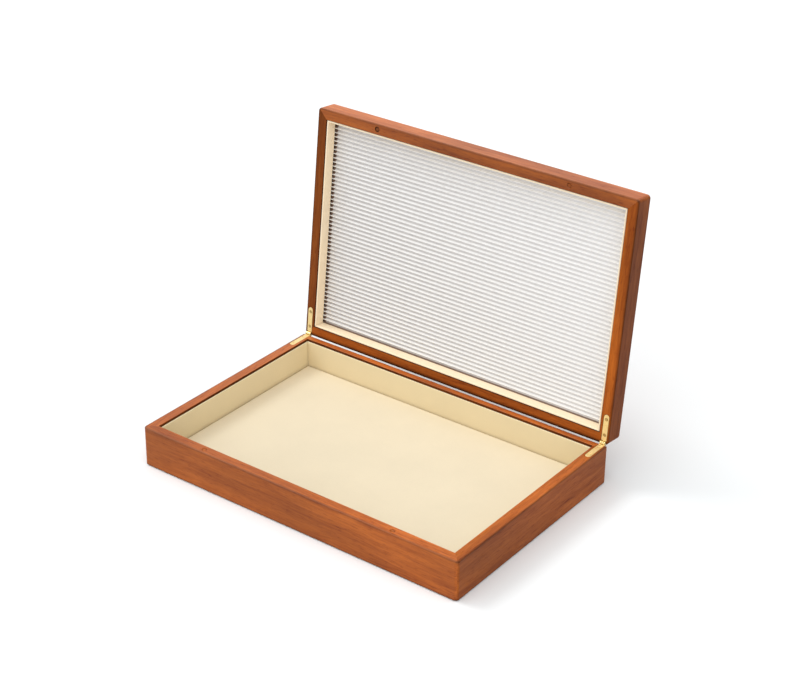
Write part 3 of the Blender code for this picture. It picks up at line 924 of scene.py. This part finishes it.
@dataclass(frozen=True)
class PolishedMetal:
    """A polished metal with fine wiping marks."""

    name: str
    colour: Colour
    tarnish: Colour
    roughness: float
    metallic: float = 1.0

    def make(self) -> Material:
        """Make the material.

        Returns:
            The material.
        """
        surface = Surface(self.name)
        marks = surface.noise(surface.stretch(surface.place, (300, 90, 300)), 1.0, 4.0, 0.6)
        share = surface.remap(marks, 0.45, 0.75)
        surface.shade(base_color=surface.blend(share, self.colour, self.tarnish), metallic=self.metallic)
        surface.shade(roughness=surface.remap(marks, 0.3, 0.7, self.roughness, self.roughness + 0.12))
        surface.bump(marks, 0.05, 0.00002)
        return surface.material


@dataclass(frozen=True)
class PlainBoard:
    """A plain board of pale wood fibre, which only shows when the box is taken apart."""

    name: str = "plain_board"
    light: Colour = (0.47, 0.32, 0.18, 1)
    dark: Colour = (0.34, 0.21, 0.11, 1)

    def make(self) -> Material:
        """Make the material.

        Returns:
            The material.
        """
        surface = Surface(self.name)
        grain = surface.group(GRAIN, place=surface.place, light=self.light, dark=self.dark, strength=0.4)
        surface.shade(base_color=grain["Color"], roughness=0.75)
        surface.bump(grain["Height"], 0.3, 0.00008)
        return surface.material


def made(finish: SoftSkin | PolishedMetal | PlainBoard | OiledWood) -> Material:
    """Return a field that holds a finish's material, made with its owner."""
    return field(default_factory=finish.make)


@dataclass
class Finishes:
    """Every finish that the pieces share."""

    lining: Material = made(SoftSkin("cream_lining", (0.765, 0.64, 0.405, 1)))
    lid_lining: Material = made(SoftSkin("pale_cream_lining", (0.96, 0.80, 0.575, 1)))
    cushion: Material = made(SoftSkin("cream_suede", (0.745, 0.65, 0.475, 1), 2100, 0.85, 0.25, 0.00006))
    felt: Material = made(SoftSkin("brown_felt", (0.055, 0.036, 0.026, 1), 900, 0.95, 0.3, 0.0002))
    brass: Material = made(
        PolishedMetal("pale_brass", (0.95, 0.74, 0.35, 1), (0.85, 0.61, 0.23, 1), 0.34, 0.6))
    polish: Material = made(
        PolishedMetal("polished_brass", (0.72, 0.54, 0.24, 1), (0.42, 0.30, 0.12, 1), 0.1))
    screw: Material = made(PolishedMetal("aged_brass", (0.60, 0.43, 0.19, 1), (0.40, 0.27, 0.10, 1), 0.3))
    steel: Material = made(PolishedMetal("plain_steel", (0.62, 0.62, 0.62, 1), (0.42, 0.42, 0.42, 1), 0.28))
    board: Material = made(PlainBoard())
    # Dark wood as painted shade: on the rails' inner faces above the linings, in the leaves' pockets and in
    # the lid's left plug hole.
    recess_shade: Material = made(OiledWood("painted_shade_wood", Board(tone=0.3, refraction=1.15)))


# Sub-assemblies


@dataclass
class RailFrame:
    """Four mitred rails with rounded corners, of the base or of the lid."""

    body: Body
    woods: dict[Side, Material]
    # Dark wood as painted shade, for the inner faces and the pockets.
    recess_shade: Material
    bottom: float
    top: float
    rim: float
    top_round: float
    hinge_round: float
    rebate_level: float
    corner_segments: int = 12
    edge_segments: int = 6
    inner_ease: float = 0.0004
    mortise_depth: float = 0.0023
    plug_radius: float = 0.00205
    plug_hole_depth: float = 0.0051
    plug_segments: int = 40
    mouth_ease: float = 0.0004

    def outer(self) -> Shape:
        """Return the outer shape of the four rails together.

        Returns:
            A box with rounded corners and edges.
        """
        bm = chest_slab(0, self.bottom, self.top)
        ease(bm, upright_edges(bm), SIZES.corner_round, self.corner_segments)
        for level, width in ((self.bottom, SIZES.edge_round), (self.top, self.top_round)):
            ease(bm, edges_at(bm, z=level), width, self.edge_segments)
        return bm

    def bar(self, side: Side) -> Shape:
        """Return one rail, cut from the outer shape by its two mitres and its inner face.

        Args:
            side: The side that it is for.

        Returns:
            The rail, with its inner face marked for the dark wood of painted shade.
        """
        bm = self.outer()
        bm.transform(SIZES.side_matrix(side).inverted())
        mitre(bm, side, SIZES.mitre_joint / 2)
        trim(bm, (0, SIZES.rail, 0), (0, 1, 0))
        ease(bm, edges_at(bm, y=SIZES.rail, z=self.rim), self.inner_ease, 3)
        for face in bm.faces:
            if face.normal.y > INWARD and face.calc_center_median().y > SIZES.rail - self.inner_ease:
                face.material_index = PAINTED_SHADE_SLOT
        bm.transform(SIZES.side_matrix(side))
        return bm

    def rebate(self) -> Shape:
        """Return the tool that cuts the rebate for the board or the panel.

        Returns:
            A box that reaches past the face opposite the rim.
        """
        away = self.top if self.body is Body.LID else self.bottom
        levels = sorted((self.rebate_level, away + math.copysign(OVERRUN, away - self.rebate_level)))
        return chest_slab(SIZES.rail - SIZES.rebate_width, *levels)

    def mortise(self, side: Side) -> Shape:
        """Return the tool that cuts the pocket for one hinge's leaf.

        Args:
            side: The side that the hinge is on.

        Returns:
            A box with a round front end.
        """
        middle = side.way * SIZES.hinge_offset
        half = SIZES.leaf_width / 2 + SIZES.gap
        front = SIZES.half_depth - SIZES.leaf_reach - SIZES.gap
        into = self.body.into
        levels = sorted((SIZES.hinge_axis.z + into * self.mortise_depth, self.rim - into * OVERRUN))
        bm = slab((middle - half, front, levels[0]), (middle + half, SIZES.half_depth + OVERRUN, levels[1]))
        ease(bm, upright_edges(bm, y=front), half * ROUND_END, 10)
        return bm

    def hinge_edge(self) -> Shape:
        """Return the tool that rounds the rim's back edge, spun from the arc's own end and closed outside it.

        Returns:
            A bar along the edge with a hollow quarter.
        """
        radius, back = self.hinge_round, SIZES.half_depth
        into = self.body.into
        half = SIZES.half_width + OVERRUN
        core = Vector((-half, back - radius, self.rim + into * radius))
        bm = bmesh.new()
        start = bm.verts.new(core + Vector((0, radius, 0)))
        arc = bmesh.ops.spin(
            bm, geom=[start], cent=core, axis=(1, 0, 0), angle=-into * math.pi / 2, steps=14, use_merge=False,
            use_duplicate=False)
        above = self.rim - into * OVERRUN
        corners = [(-half, core.y, above), (-half, back + OVERRUN, above), (-half, back + OVERRUN, core.z)]
        join(bm, [verts_in(arc["geom_last"])[0], *(bm.verts.new(corner) for corner in corners), start])
        bmesh.ops.remove_doubles(bm, verts=bm.verts, dist=WELD)
        sweep(bm, 2 * half)
        return bm

    def plug_hole(self, side: Side) -> list[Shape]:
        """Return the tools that bore the front rail for a magnet and its plug.

        Args:
            side: Which of the two holes it is, left or right.

        Returns:
            The bore and the cone that eases its mouth.
        """
        into = self.body.into
        spot = Vector((side.way * SIZES.plug_spacing / 2, SIZES.front_middle, 0))
        bore = Vector((0, 0, self.rim + into * (self.plug_hole_depth - OVERRUN) / 2))
        mouth = Vector((0, 0, self.rim + into * self.mouth_ease / 2))
        straight = Matrix.Translation(spot + bore)
        turned = Matrix.Translation(spot + mouth) @ Matrix.Rotation(math.pi if into > 0 else 0, 4, "X")
        narrow, wide = self.plug_radius - self.mouth_ease, self.plug_radius + 2 * self.mouth_ease
        return [
            rod(self.plug_radius, self.plug_hole_depth + OVERRUN, self.plug_segments, straight),
            rod(narrow, 3 * self.mouth_ease, self.plug_segments, turned, wide),
        ]

    def tools(self, side: Side) -> list[Tool]:
        """Return the tools that cut one rail.

        Args:
            side: The rail's side.

        Returns:
            The tools for its rebate, and for its plug holes or its mortises and its round back edge.
        """
        wood = self.woods[side]
        found = [Tool(self.rebate(), Cut.AWAY, self.recess_shade)]
        if side is Side.FRONT:
            for end in (Side.LEFT, Side.RIGHT):
                # The lid's left plug hole is lined with the dark wood of painted shade.
                lined = self.recess_shade if self.body is Body.LID and end is Side.LEFT else wood
                found += [Tool(hole, Cut.AWAY, lined) for hole in self.plug_hole(end)]
            return found
        hinged = [end for end in (Side.LEFT, Side.RIGHT) if side in (end, Side.BACK)]
        # The leaves' pockets are lined with painted shade, which outlines the leaves.
        found += [Tool(self.mortise(end), Cut.AWAY, self.recess_shade) for end in hinged]
        return found + [Tool(self.hinge_edge(), Cut.AWAY, wood)]

    def build(self) -> None:
        """Build the four rails."""
        for side in Side:
            node = f"{self.body}_{side.label}_rail"
            rail = new_object(f"{node}_wood", self.bar(side))
            dress(rail, self.woods[side], self.recess_shade)
            carve(rail, self.tools(side))
            if self.body is Body.LID:
                rail.data.transform(SIZES.lid_turn)
            smooth(rail)
            hand_over(rail, self.body, node)


@dataclass
class Linings:
    """Four mitred lining boards, wrapped in leather that rounds over their edge at the rim."""

    body: Body
    word: str
    low: float
    high: float
    rim: float
    leather: Material
    rolled: float = 0.00055

    def build(self) -> None:
        """Build the four boards."""
        outer = SIZES.rail + SIZES.gap
        for side in Side:
            half = SIZES.bar_half(side)
            bm = slab((-half, outer, self.low), (half, outer + SIZES.liner, self.high))
            mitre(bm, side, SIZES.gap / 3)
            at_rim = edges_at(bm, z=self.rim)
            long_ones = [edge for edge in at_rim if abs(edge.verts[0].co.y - edge.verts[1].co.y) < WELD]
            ease(bm, long_ones, self.rolled, 6)
            bm.transform(SIZES.side_matrix(side))
            node = f"{self.body}_{side.label}_{self.word}"
            furnish(bm, self.body, node, "leather", self.leather)


@dataclass
class MagnetPlugs:
    """The two wooden plugs in a front rail, with eased ends."""

    body: Body
    rim: float
    woods: dict[Side, Material]
    radius: float = 0.00175
    height: float = 0.0012
    sink: float = 0.0003
    eased: float = 0.0002
    segments: int = 40

    def build(self) -> None:
        """Build the plugs."""
        into = self.body.into
        middle = self.rim + into * (self.sink + self.height / 2)
        for side, wood in self.woods.items():
            place = Matrix.Translation((side.way * SIZES.plug_spacing / 2, SIZES.front_middle, middle))
            bm = rod(self.radius, self.height, self.segments, place)
            ease(bm, edges_at(bm, z=self.rim + into * self.sink), self.eased, 3)
            node = f"{self.body}_{side.label}_magnet_plug"
            furnish(bm, self.body, node, "wood", wood)


@dataclass
class BaseTray:
    """The base: rails, linings, cushion, plugs and the felt below."""

    finishes: Finishes
    liner_drop: float = 0.0018
    rebate_top: float = 0.0044
    pad_inset: float = 0.0118
    pad_base: float = 0.0067
    pad_top: float = 0.0118
    pad_crown: float = 0.0007
    pad_edge: float = 0.0014
    pad_draw: float = 0.0005
    pad_cells: tuple[int, int, int] = (60, 40, 4)
    pad_fill: float = 0.9
    puff_pressure: float = 4.0
    puff_frames: int = 20
    puff_cap: float = 0.0006
    felt_corner: float = 0.0015
    felt_edge: float = 0.0002
    plug_board: Board = Board(9)
    boards: dict[Side, Board] = field(default_factory=lambda: {
        Side.FRONT: Board(1, 1.26, 1.38, 0.83),
        Side.RIGHT: Board(2, 1.15, 1.3, 0.68),
        Side.BACK: Board(3, 1.3, 1.65, 0.8),
        Side.LEFT: Board(4, 1.14, 1.42, 0.88),
    })

    def build(self) -> None:
        """Build every piece of the base."""
        woods = {
            side: OiledWood(f"oiled_wood_base_{side.label}", board, side.runs_deep).make()
            for side, board in self.boards.items()}
        rim = SIZES.base_rim
        RailFrame(
            Body.BASE, woods, self.finishes.recess_shade, SIZES.rail_bottom, rim, rim, SIZES.edge_round,
            SIZES.hinge_edge_round, self.rebate_top).build()
        liner_top = rim - self.liner_drop
        Linings(Body.BASE, "liner", self.rebate_top, liner_top, liner_top, self.finishes.lining).build()
        plug = OiledWood("plug_wood_base", self.plug_board).make()
        MagnetPlugs(Body.BASE, rim, {Side.LEFT: plug, Side.RIGHT: plug}).build()
        self.build_cushion()
        self.build_felt()

    def build_cushion(self) -> None:
        """Build the tray's padded floor: a crowned slab whose sides draw in and whose edges are rolled."""
        half_width, half_depth = SIZES.half_width - self.pad_inset, SIZES.half_depth - self.pad_inset
        bm = bmesh.new()
        bmesh.ops.create_cube(bm, size=2.0)
        for axis, cells in enumerate(self.pad_cells):
            along = [edge for edge in bm.edges if abs(edge.verts[0].co[axis] - edge.verts[1].co[axis]) > WELD]
            bmesh.ops.subdivide_edges(bm, edges=along, cuts=cells - 1, use_grid_fill=True)
        middle = (self.pad_base + self.pad_top) / 2
        for vertex in bm.verts:
            across, deep, level = vertex.co
            crown = self.pad_crown * (1 - across ** 2) * (1 - deep ** 2)
            draw = self.pad_draw * level ** 2
            reach = (self.pad_top - middle + crown) if level > 0 else (middle - self.pad_base)
            vertex.co = (across * (half_width - draw), deep * (half_depth - draw), middle + level * reach)
        bm.normal_update()
        rim = [edge for edge in bm.edges
               if len(edge.link_faces) == 2 and edge.calc_face_angle(0) > math.radians(60)]
        ease(bm, rim, self.pad_edge, 4)
        piece = new_object("tray_cushion", bm)
        self.puff(piece)
        round_over = piece.modifiers.new("soft_edges", "SUBSURF")
        round_over.levels = 1
        round_over.render_levels = 1
        settle(piece)
        piece.data.shade_smooth()
        dress(piece, self.finishes.cushion)
        hand_over(piece, Body.BASE, "tray_pad")

    def puff(self, piece: Piece) -> None:
        """Swell the cushion by a short cloth simulation, each point's way capped inside the solid's space.

        Args:
            piece: The cushion's shape as it was sewn.
        """
        low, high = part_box("tray_pad")
        sewn = [vertex.co.copy() for vertex in piece.data.vertices]
        cloth = piece.modifiers.new("puff", "CLOTH").settings
        cloth.use_pressure = True
        cloth.uniform_pressure_force = self.puff_pressure
        cloth.effector_weights.gravity = 0
        for number in range(1, self.puff_frames + 1):
            bpy.context.scene.frame_set(number)
        settle(piece)
        for vertex, start in zip(piece.data.vertices, sewn):
            way = vertex.co - start
            if way.length > self.puff_cap:
                way.length = self.puff_cap
            for axis in range(3):
                vertex.co[axis] = min(max(start[axis] + way[axis], low[axis]), high[axis])
        bpy.context.scene.frame_set(1)

    def build_felt(self) -> None:
        """Build the felt sheet glued under the bottom board, with its cut edges softened."""
        low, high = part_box("underside_felt")
        bm = slab(low, high)
        ease(bm, upright_edges(bm), self.felt_corner, 6)
        ease(bm, edges_at(bm, z=low.z), self.felt_edge, 3)
        piece = furnish(bm, Body.BASE, "underside_felt", "cloth", self.finishes.felt)


@dataclass
class Lid:
    """The lid: rails, top panel, linings, fluted panel and plugs."""

    finishes: Finishes
    liner_drop: float = 0.0004
    panel_thickness: float = 0.004
    panel_ease: float = 0.0004
    fluted_thickness: float = 0.0054
    flute_pitch: float = 0.003955
    flute_start: float = 0.0012
    flute_depth: float = 0.003
    flute_width: float = 0.00348
    flute_segments: int = 14
    top_tone: float = 0.92
    # Painted shade on the back rail near the hinge edge.
    hinge_tone: float = 0.16
    hinge_round: float = 0.0015
    panel_board: Board = Board(12)
    boards: dict[Side, Board] = field(default_factory=lambda: {
        Side.FRONT: Board(30, 0.8, 1.38, 1.6),
        Side.RIGHT: Board(6, 0.98, 1.2, 0.58),
        Side.BACK: Board(7, 0.9, 1.2, 1.0),
        Side.LEFT: Board(8, 0.48, 1.2, 1.5),
    })
    plug_boards: dict[Side, Board] = field(
        default_factory=lambda: {Side.LEFT: Board(10, 0.42), Side.RIGHT: Board(10, 0.6)})

    @property
    def panel_base(self) -> float:
        """Return the level of the top panel's inner face."""
        return SIZES.lid_top - self.panel_thickness

    @property
    def ridge_level(self) -> float:
        """Return the level of the ridges between the flutes."""
        return self.panel_base - SIZES.gap - self.fluted_thickness

    def wood(self, name: str, board: Board, **values: float | bool) -> Material:
        """Return an oiled wood for a piece of the lid, shaped closed and turned open."""
        return OiledWood(name, board, turned=True, levels=(SIZES.lid_rim, SIZES.lid_top), **values).make()

    def build(self) -> None:
        """Build every piece of the lid."""
        woods = {}
        for side, board in self.boards.items():
            hinge_tone = self.hinge_tone if side is Side.BACK else 1.0
            woods[side] = self.wood(
                f"oiled_wood_lid_{side.label}", board, runs_deep=side.runs_deep,
                top_share=self.top_tone / board.tone, hinge_tone=hinge_tone)
        rim = SIZES.lid_rim
        RailFrame(
            Body.LID, woods, self.finishes.recess_shade, rim, SIZES.lid_top, rim, SIZES.lid_top_round,
            self.hinge_round, self.panel_base - SIZES.gap).build()
        low, high = rim + self.liner_drop, self.ridge_level - SIZES.gap
        Linings(Body.LID, "lining", low, high, low, self.finishes.lid_lining).build()
        plugs = {
            side: self.wood(f"plug_wood_lid_{side.label}", board)
            for side, board in self.plug_boards.items()}
        MagnetPlugs(Body.LID, rim, plugs).build()
        self.build_top_panel()
        self.build_fluted_panel()

    def build_top_panel(self) -> None:
        """Build the panel that closes the lid's outer face."""
        bm = chest_slab(SIZES.rail - SIZES.rebate_width + SIZES.gap, self.panel_base, SIZES.lid_top)
        ease(bm, edges_at(bm, z=SIZES.lid_top), self.panel_ease, 4)
        wood = self.wood("oiled_wood_lid_panel", self.panel_board, edge_tone=1.0)
        furnish(bm, Body.LID, "lid_top_panel", "wood", wood)

    def build_fluted_panel(self) -> None:
        """Build the fluted panel: one hollow spun as an arc, repeated down the lid and swept across it."""
        half_depth = SIZES.half_depth - SIZES.rail - SIZES.gap
        half_width = SIZES.half_width - SIZES.rail - SIZES.gap
        count = int((2 * half_depth - self.flute_start) / self.flute_pitch)
        half_chord = self.flute_width / 2
        bm = bmesh.new()
        start = bm.verts.new((-half_width, half_depth - self.flute_start, self.ridge_level))
        middle = Vector((-half_width, start.co.y - half_chord, self.ridge_level))
        bmesh.ops.spin(
            bm, geom=[start], cent=middle, axis=(1, 0, 0), angle=math.pi, steps=self.flute_segments)
        bmesh.ops.scale(
            bm, vec=(1, 1, self.flute_depth / half_chord), space=Matrix.Translation(-middle), verts=bm.verts)
        ridge = bmesh.ops.extrude_vert_indiv(bm, verts=[min(bm.verts, key=along_y)])
        bmesh.ops.translate(bm, vec=(0, self.flute_width - self.flute_pitch, 0), verts=ridge["verts"])
        one = bm.verts[:] + bm.edges[:]
        for number in range(1, count):
            copy = bmesh.ops.duplicate(bm, geom=one)
            bmesh.ops.translate(bm, vec=(0, -number * self.flute_pitch, 0), verts=verts_in(copy["geom"]))
        bmesh.ops.remove_doubles(bm, verts=bm.verts, dist=WELD)
        first, last = max(bm.verts, key=along_y), min(bm.verts, key=along_y)
        back = self.panel_base - SIZES.gap
        front, far = -half_depth, half_depth
        corners = [(front, self.ridge_level), (front, back), (far, back), (far, self.ridge_level)]
        join(bm, [last, *(bm.verts.new((-half_width, *corner)) for corner in corners), first])
        sweep(bm, 2 * half_width)
        white = FlutedWhite(self.ridge_level, self.flute_depth).make()
        furnish(bm, Body.LID, "fluted_panel", "satin", white)


def along_y(vertex: Vertex) -> float:
    """Return a vertex's place along Y."""
    return vertex.co.y


@dataclass
class Hinge:
    """One hinge: two brass leaves let in flush, with three knuckles and the countersunk screws' holes."""

    side: Side
    finishes: Finishes
    knuckle_radius: float = 0.002
    knuckle_width: float = 0.0014
    bore_radius: float = 0.00065
    leaf_ease: float = 0.0002
    screw_front: float = 0.0045
    screw_back: float = 0.0085
    screw_sink: float = 0.0001
    hole_radius: float = 0.0017
    shank_radius: float = 0.001

    @property
    def face(self) -> float:
        """Return the level of a leaf's face, seen from the axis."""
        return -SIZES.rim_gap / 2

    @property
    def far(self) -> float:
        """Return the place along Y of a leaf's far end, seen from the axis."""
        return SIZES.axis_inset - SIZES.leaf_reach

    def knuckle(self, left: float, right: float, radius: float, segments: int = 48) -> Shape:
        """Return a rod along the axis between two places across the leaf."""
        along = Matrix.Translation(((left + right) / 2, 0, 0)) @ Matrix.Rotation(math.pi / 2, 4, "Y")
        return rod(radius, right - left, segments, along)

    def plate(self) -> Shape:
        """Return the leaf's plate below the axis.

        Returns:
            A plate with its far end round and its upper arris eased.
        """
        half = SIZES.leaf_width / 2
        bm = slab((-half, self.far, -self.knuckle_radius), (half, 0, self.face))
        ease(bm, upright_edges(bm, y=self.far), half * ROUND_END, 16)
        upper = edges_at(bm, z=self.face)
        arris = [edge for edge in upper if any(vertex.co.y < -WELD for vertex in edge.verts)]
        ease(bm, arris, self.leaf_ease, 3)
        return bm

    def countersink(self, along: float) -> Shape:
        """Return the tool for one screw's hole: a cylinder over a cone over the shank's hole.

        Args:
            along: The hole's place along the leaf.

        Returns:
            The tool, spun from its outline.
        """
        slope = self.hole_radius - self.shank_radius
        outline = [
            (0, OVERRUN), (self.hole_radius, OVERRUN), (self.hole_radius, 0), (self.shank_radius, -slope),
            (self.shank_radius, -OVERRUN), (0, -OVERRUN)]
        bm = bmesh.new()
        verts = [bm.verts.new((radius, 0, level)) for radius, level in outline]
        edges = join(bm, verts)
        bmesh.ops.spin(
            bm, geom=verts + edges, cent=(0, 0, 0), axis=(0, 0, 1), angle=2 * math.pi, steps=32,
            use_merge=True)
        bmesh.ops.remove_doubles(bm, verts=bm.verts, dist=WELD)
        bmesh.ops.recalc_face_normals(bm, faces=bm.faces)
        bmesh.ops.translate(bm, vec=(0, along, self.face - self.screw_sink), verts=bm.verts)
        return bm

    def tools(self, body: Body) -> list[Tool]:
        """Return the tools that shape one leaf.

        Args:
            body: The body that the leaf is screwed to.

        Returns:
            Its notches for the other leaf's knuckles, its own knuckles, the pin's bore and the screws' holes.
        """
        brass = self.finishes.brass
        half = SIZES.leaf_width / 2
        inner = half - self.knuckle_width
        outer_spans = [(-half, -inner), (inner, half)]
        centre_spans = [(-inner + SIZES.gap, inner - SIZES.gap)]
        own, others = (centre_spans, outer_spans) if body is Body.LID else (outer_spans, centre_spans)
        reach = self.knuckle_radius + SIZES.gap
        found = []
        for left, right in others:
            low = left - (SIZES.gap if left > -half else OVERRUN)
            high = right + (SIZES.gap if right < half else OVERRUN)
            notch = slab((low, -reach, -reach - OVERRUN), (high, reach, OVERRUN))
            found.append(Tool(notch, Cut.AWAY, brass))
        for left, right in own:
            found.append(Tool(self.knuckle(left, right, self.knuckle_radius), Cut.JOIN, self.finishes.polish))
        bore = self.knuckle(-half - OVERRUN, half + OVERRUN, self.bore_radius, 32)
        found.append(Tool(bore, Cut.AWAY, brass))
        for along in (self.far + self.screw_front, SIZES.axis_inset - self.screw_back):
            found.append(Tool(self.countersink(along), Cut.AWAY, brass))
        return found

    def build_leaf(self, body: Body) -> None:
        """Build one leaf.

        Args:
            body: The body that the leaf is screwed to.
        """
        node = f"{self.side.label}_hinge_{body}_leaf"
        piece = new_object(f"{node}_brass", self.plate())
        dress(piece, self.finishes.brass)
        carve(piece, self.tools(body))
        place = Matrix.Translation(SIZES.hinge_axis + Vector((self.side.way * SIZES.hinge_offset, 0, 0)))
        if body is Body.LID:
            place = SIZES.lid_turn @ place @ Matrix.Rotation(math.pi, 4, "Y")
        piece.data.transform(place)
        smooth(piece)
        hand_over(piece, body, node)

    def build(self) -> None:
        """Build both leaves."""
        for body in Body:
            self.build_leaf(body)


@dataclass
class Fittings:
    """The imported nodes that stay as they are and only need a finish."""

    finishes: Finishes

    def finish_for(self, name: str) -> Material:
        """Return the finish of a node.

        Args:
            name: The node's name.

        Returns:
            The material.
        """
        if "board" in name:
            return self.finishes.board
        if "screw" in name and "_lid_" in name:
            return self.finishes.screw
        if "screw" in name or "pin" in name.split("_"):
            return self.finishes.brass
        return self.finishes.steel

    def dress(self) -> None:
        """Give every node that is left its finish."""
        for name, node in frame["nodes"].items():
            if node.hide_render:
                continue
            material = self.finish_for(name)
            for slot in node.material_slots:
                slot.material = material
            LOG.info("%s keeps its shape, in %s", name, material.name)


@dataclass
class Studio:
    """A pale floor, a key light from the left, a broad fill from the front and an even sky."""

    floor_size: float = 12.0
    floor_seen: Colour = (0.93, 0.957, 0.965, 1)
    floor_colour: Colour = (0.62, 0.62, 0.62, 1)
    sky: float = 0.55
    key: float = 0.8
    key_spread: float = math.radians(24)
    key_way: tuple[float, float, float] = (-0.62, -0.08, 0.78)
    fill: float = 1.85
    fill_spread: float = math.radians(120)
    fill_way: tuple[float, float, float] = (0.15, -0.62, 0.77)

    def build(self) -> None:
        """Build the floor, the lights and the world."""
        self.build_floor()
        self.build_lamp("key", self.key, self.key_spread, self.key_way)
        self.build_lamp("fill", self.fill, self.fill_spread, self.fill_way)
        self.build_world()

    def build_floor(self) -> None:
        """Build the floor, which shows white where no shadow falls."""
        bm = bmesh.new()
        bmesh.ops.create_grid(bm, x_segments=1, y_segments=1, size=self.floor_size / 2)
        floor = new_object("floor", bm)
        surface = Surface("pale_floor")
        seen = surface.node("LightPath").outputs["Is Camera Ray"]
        colour = surface.blend(seen, self.floor_colour, self.floor_seen)
        surface.shade(base_color=colour, roughness=0.9, specular_ior_level=0.1)
        dress(floor, surface.material)

    def build_lamp(self, name: str, energy: float, spread: float, way: Iterable[float]) -> None:
        """Build a broad sun.

        Args:
            name: The lamp's name.
            energy: Its strength.
            spread: The angle that its disc covers.
            way: The direction towards it.
        """
        lamp = bpy.data.lights.new(name, "SUN")
        lamp.energy = energy
        lamp.angle = spread
        sun = bpy.data.objects.new(name, lamp)
        sun.rotation_euler = Vector(way).to_track_quat("Z", "Y").to_euler()
        bpy.context.scene.collection.objects.link(sun)

    def build_world(self) -> None:
        """Build the sky: even light on the chest, plain white to the camera and in reflections."""
        world = bpy.data.worlds.new("sky")
        bpy.context.scene.world = world
        world.use_nodes = True
        wires = Wires(world.node_tree)
        path = wires.node("LightPath").outputs
        shown = wires.maths("MAXIMUM", path["Is Camera Ray"], path["Is Transmission Ray"])
        shown = wires.maths("MAXIMUM", shown, path["Is Glossy Ray"])
        strength = wires.remap(shown, 0.0, 1.0, self.sky, 1.0)
        wires.feed(world.node_tree.nodes["Background"], color=(1, 1, 1, 1), strength=strength)


@dataclass
class PhotoCamera:
    """The camera at the photograph's angle, as solved from the box's straight edges."""

    yaw: float = math.radians(36.874)
    pitch: float = math.radians(27.957)
    roll: float = math.radians(-0.534)
    distance: float = 1.65013
    aside: float = -0.013075
    down: float = 0.119952
    raised: float = 0.0005
    focal: float = 1919.98
    centre: tuple[float, float] = (389.33, 333.11)
    picture: tuple[int, int] = (800, 688)
    sensor: float = 36.0

    def build(self) -> None:
        """Build the camera and make it the scene's own."""
        level = math.cos(self.pitch)
        ahead = Vector((-math.sin(self.yaw) * level, math.cos(self.yaw) * level, -math.sin(self.pitch)))
        right = ahead.cross(Vector((0, 0, 1))).normalized()
        below = ahead.cross(right)
        turned_right = right * math.cos(self.roll) + below * math.sin(self.roll)
        turned_below = below * math.cos(self.roll) - right * math.sin(self.roll)
        spot = -(turned_right * self.aside + turned_below * self.down + ahead * self.distance)
        spot.z += self.raised
        width, height = self.picture
        lens = bpy.data.cameras.new("photo_camera")
        lens.sensor_width = self.sensor
        lens.lens = self.focal / width * self.sensor
        lens.shift_x = (width / 2 - self.centre[0]) / width
        lens.shift_y = (self.centre[1] - height / 2) / width
        camera = bpy.data.objects.new("photo_camera", lens)
        axes = Matrix((turned_right, -turned_below, -ahead)).transposed().to_4x4()
        camera.matrix_world = Matrix.Translation(spot) @ axes
        bpy.context.scene.collection.objects.link(camera)
        bpy.context.scene.camera = camera


def main() -> None:
    """Build the studio, then the chest from its base to its hinges."""
    logging.basicConfig(level=logging.INFO, format="%(message)s")
    bpy.context.scene.view_settings.view_transform = "Standard"
    PhotoCamera().build()
    Studio().build()
    finishes = Finishes()
    BaseTray(finishes).build()
    Lid(finishes).build()
    for side in (Side.LEFT, Side.RIGHT):
        Hinge(side, finishes).build()
    Fittings(finishes).dress()


if __name__ == "__main__":
    main()
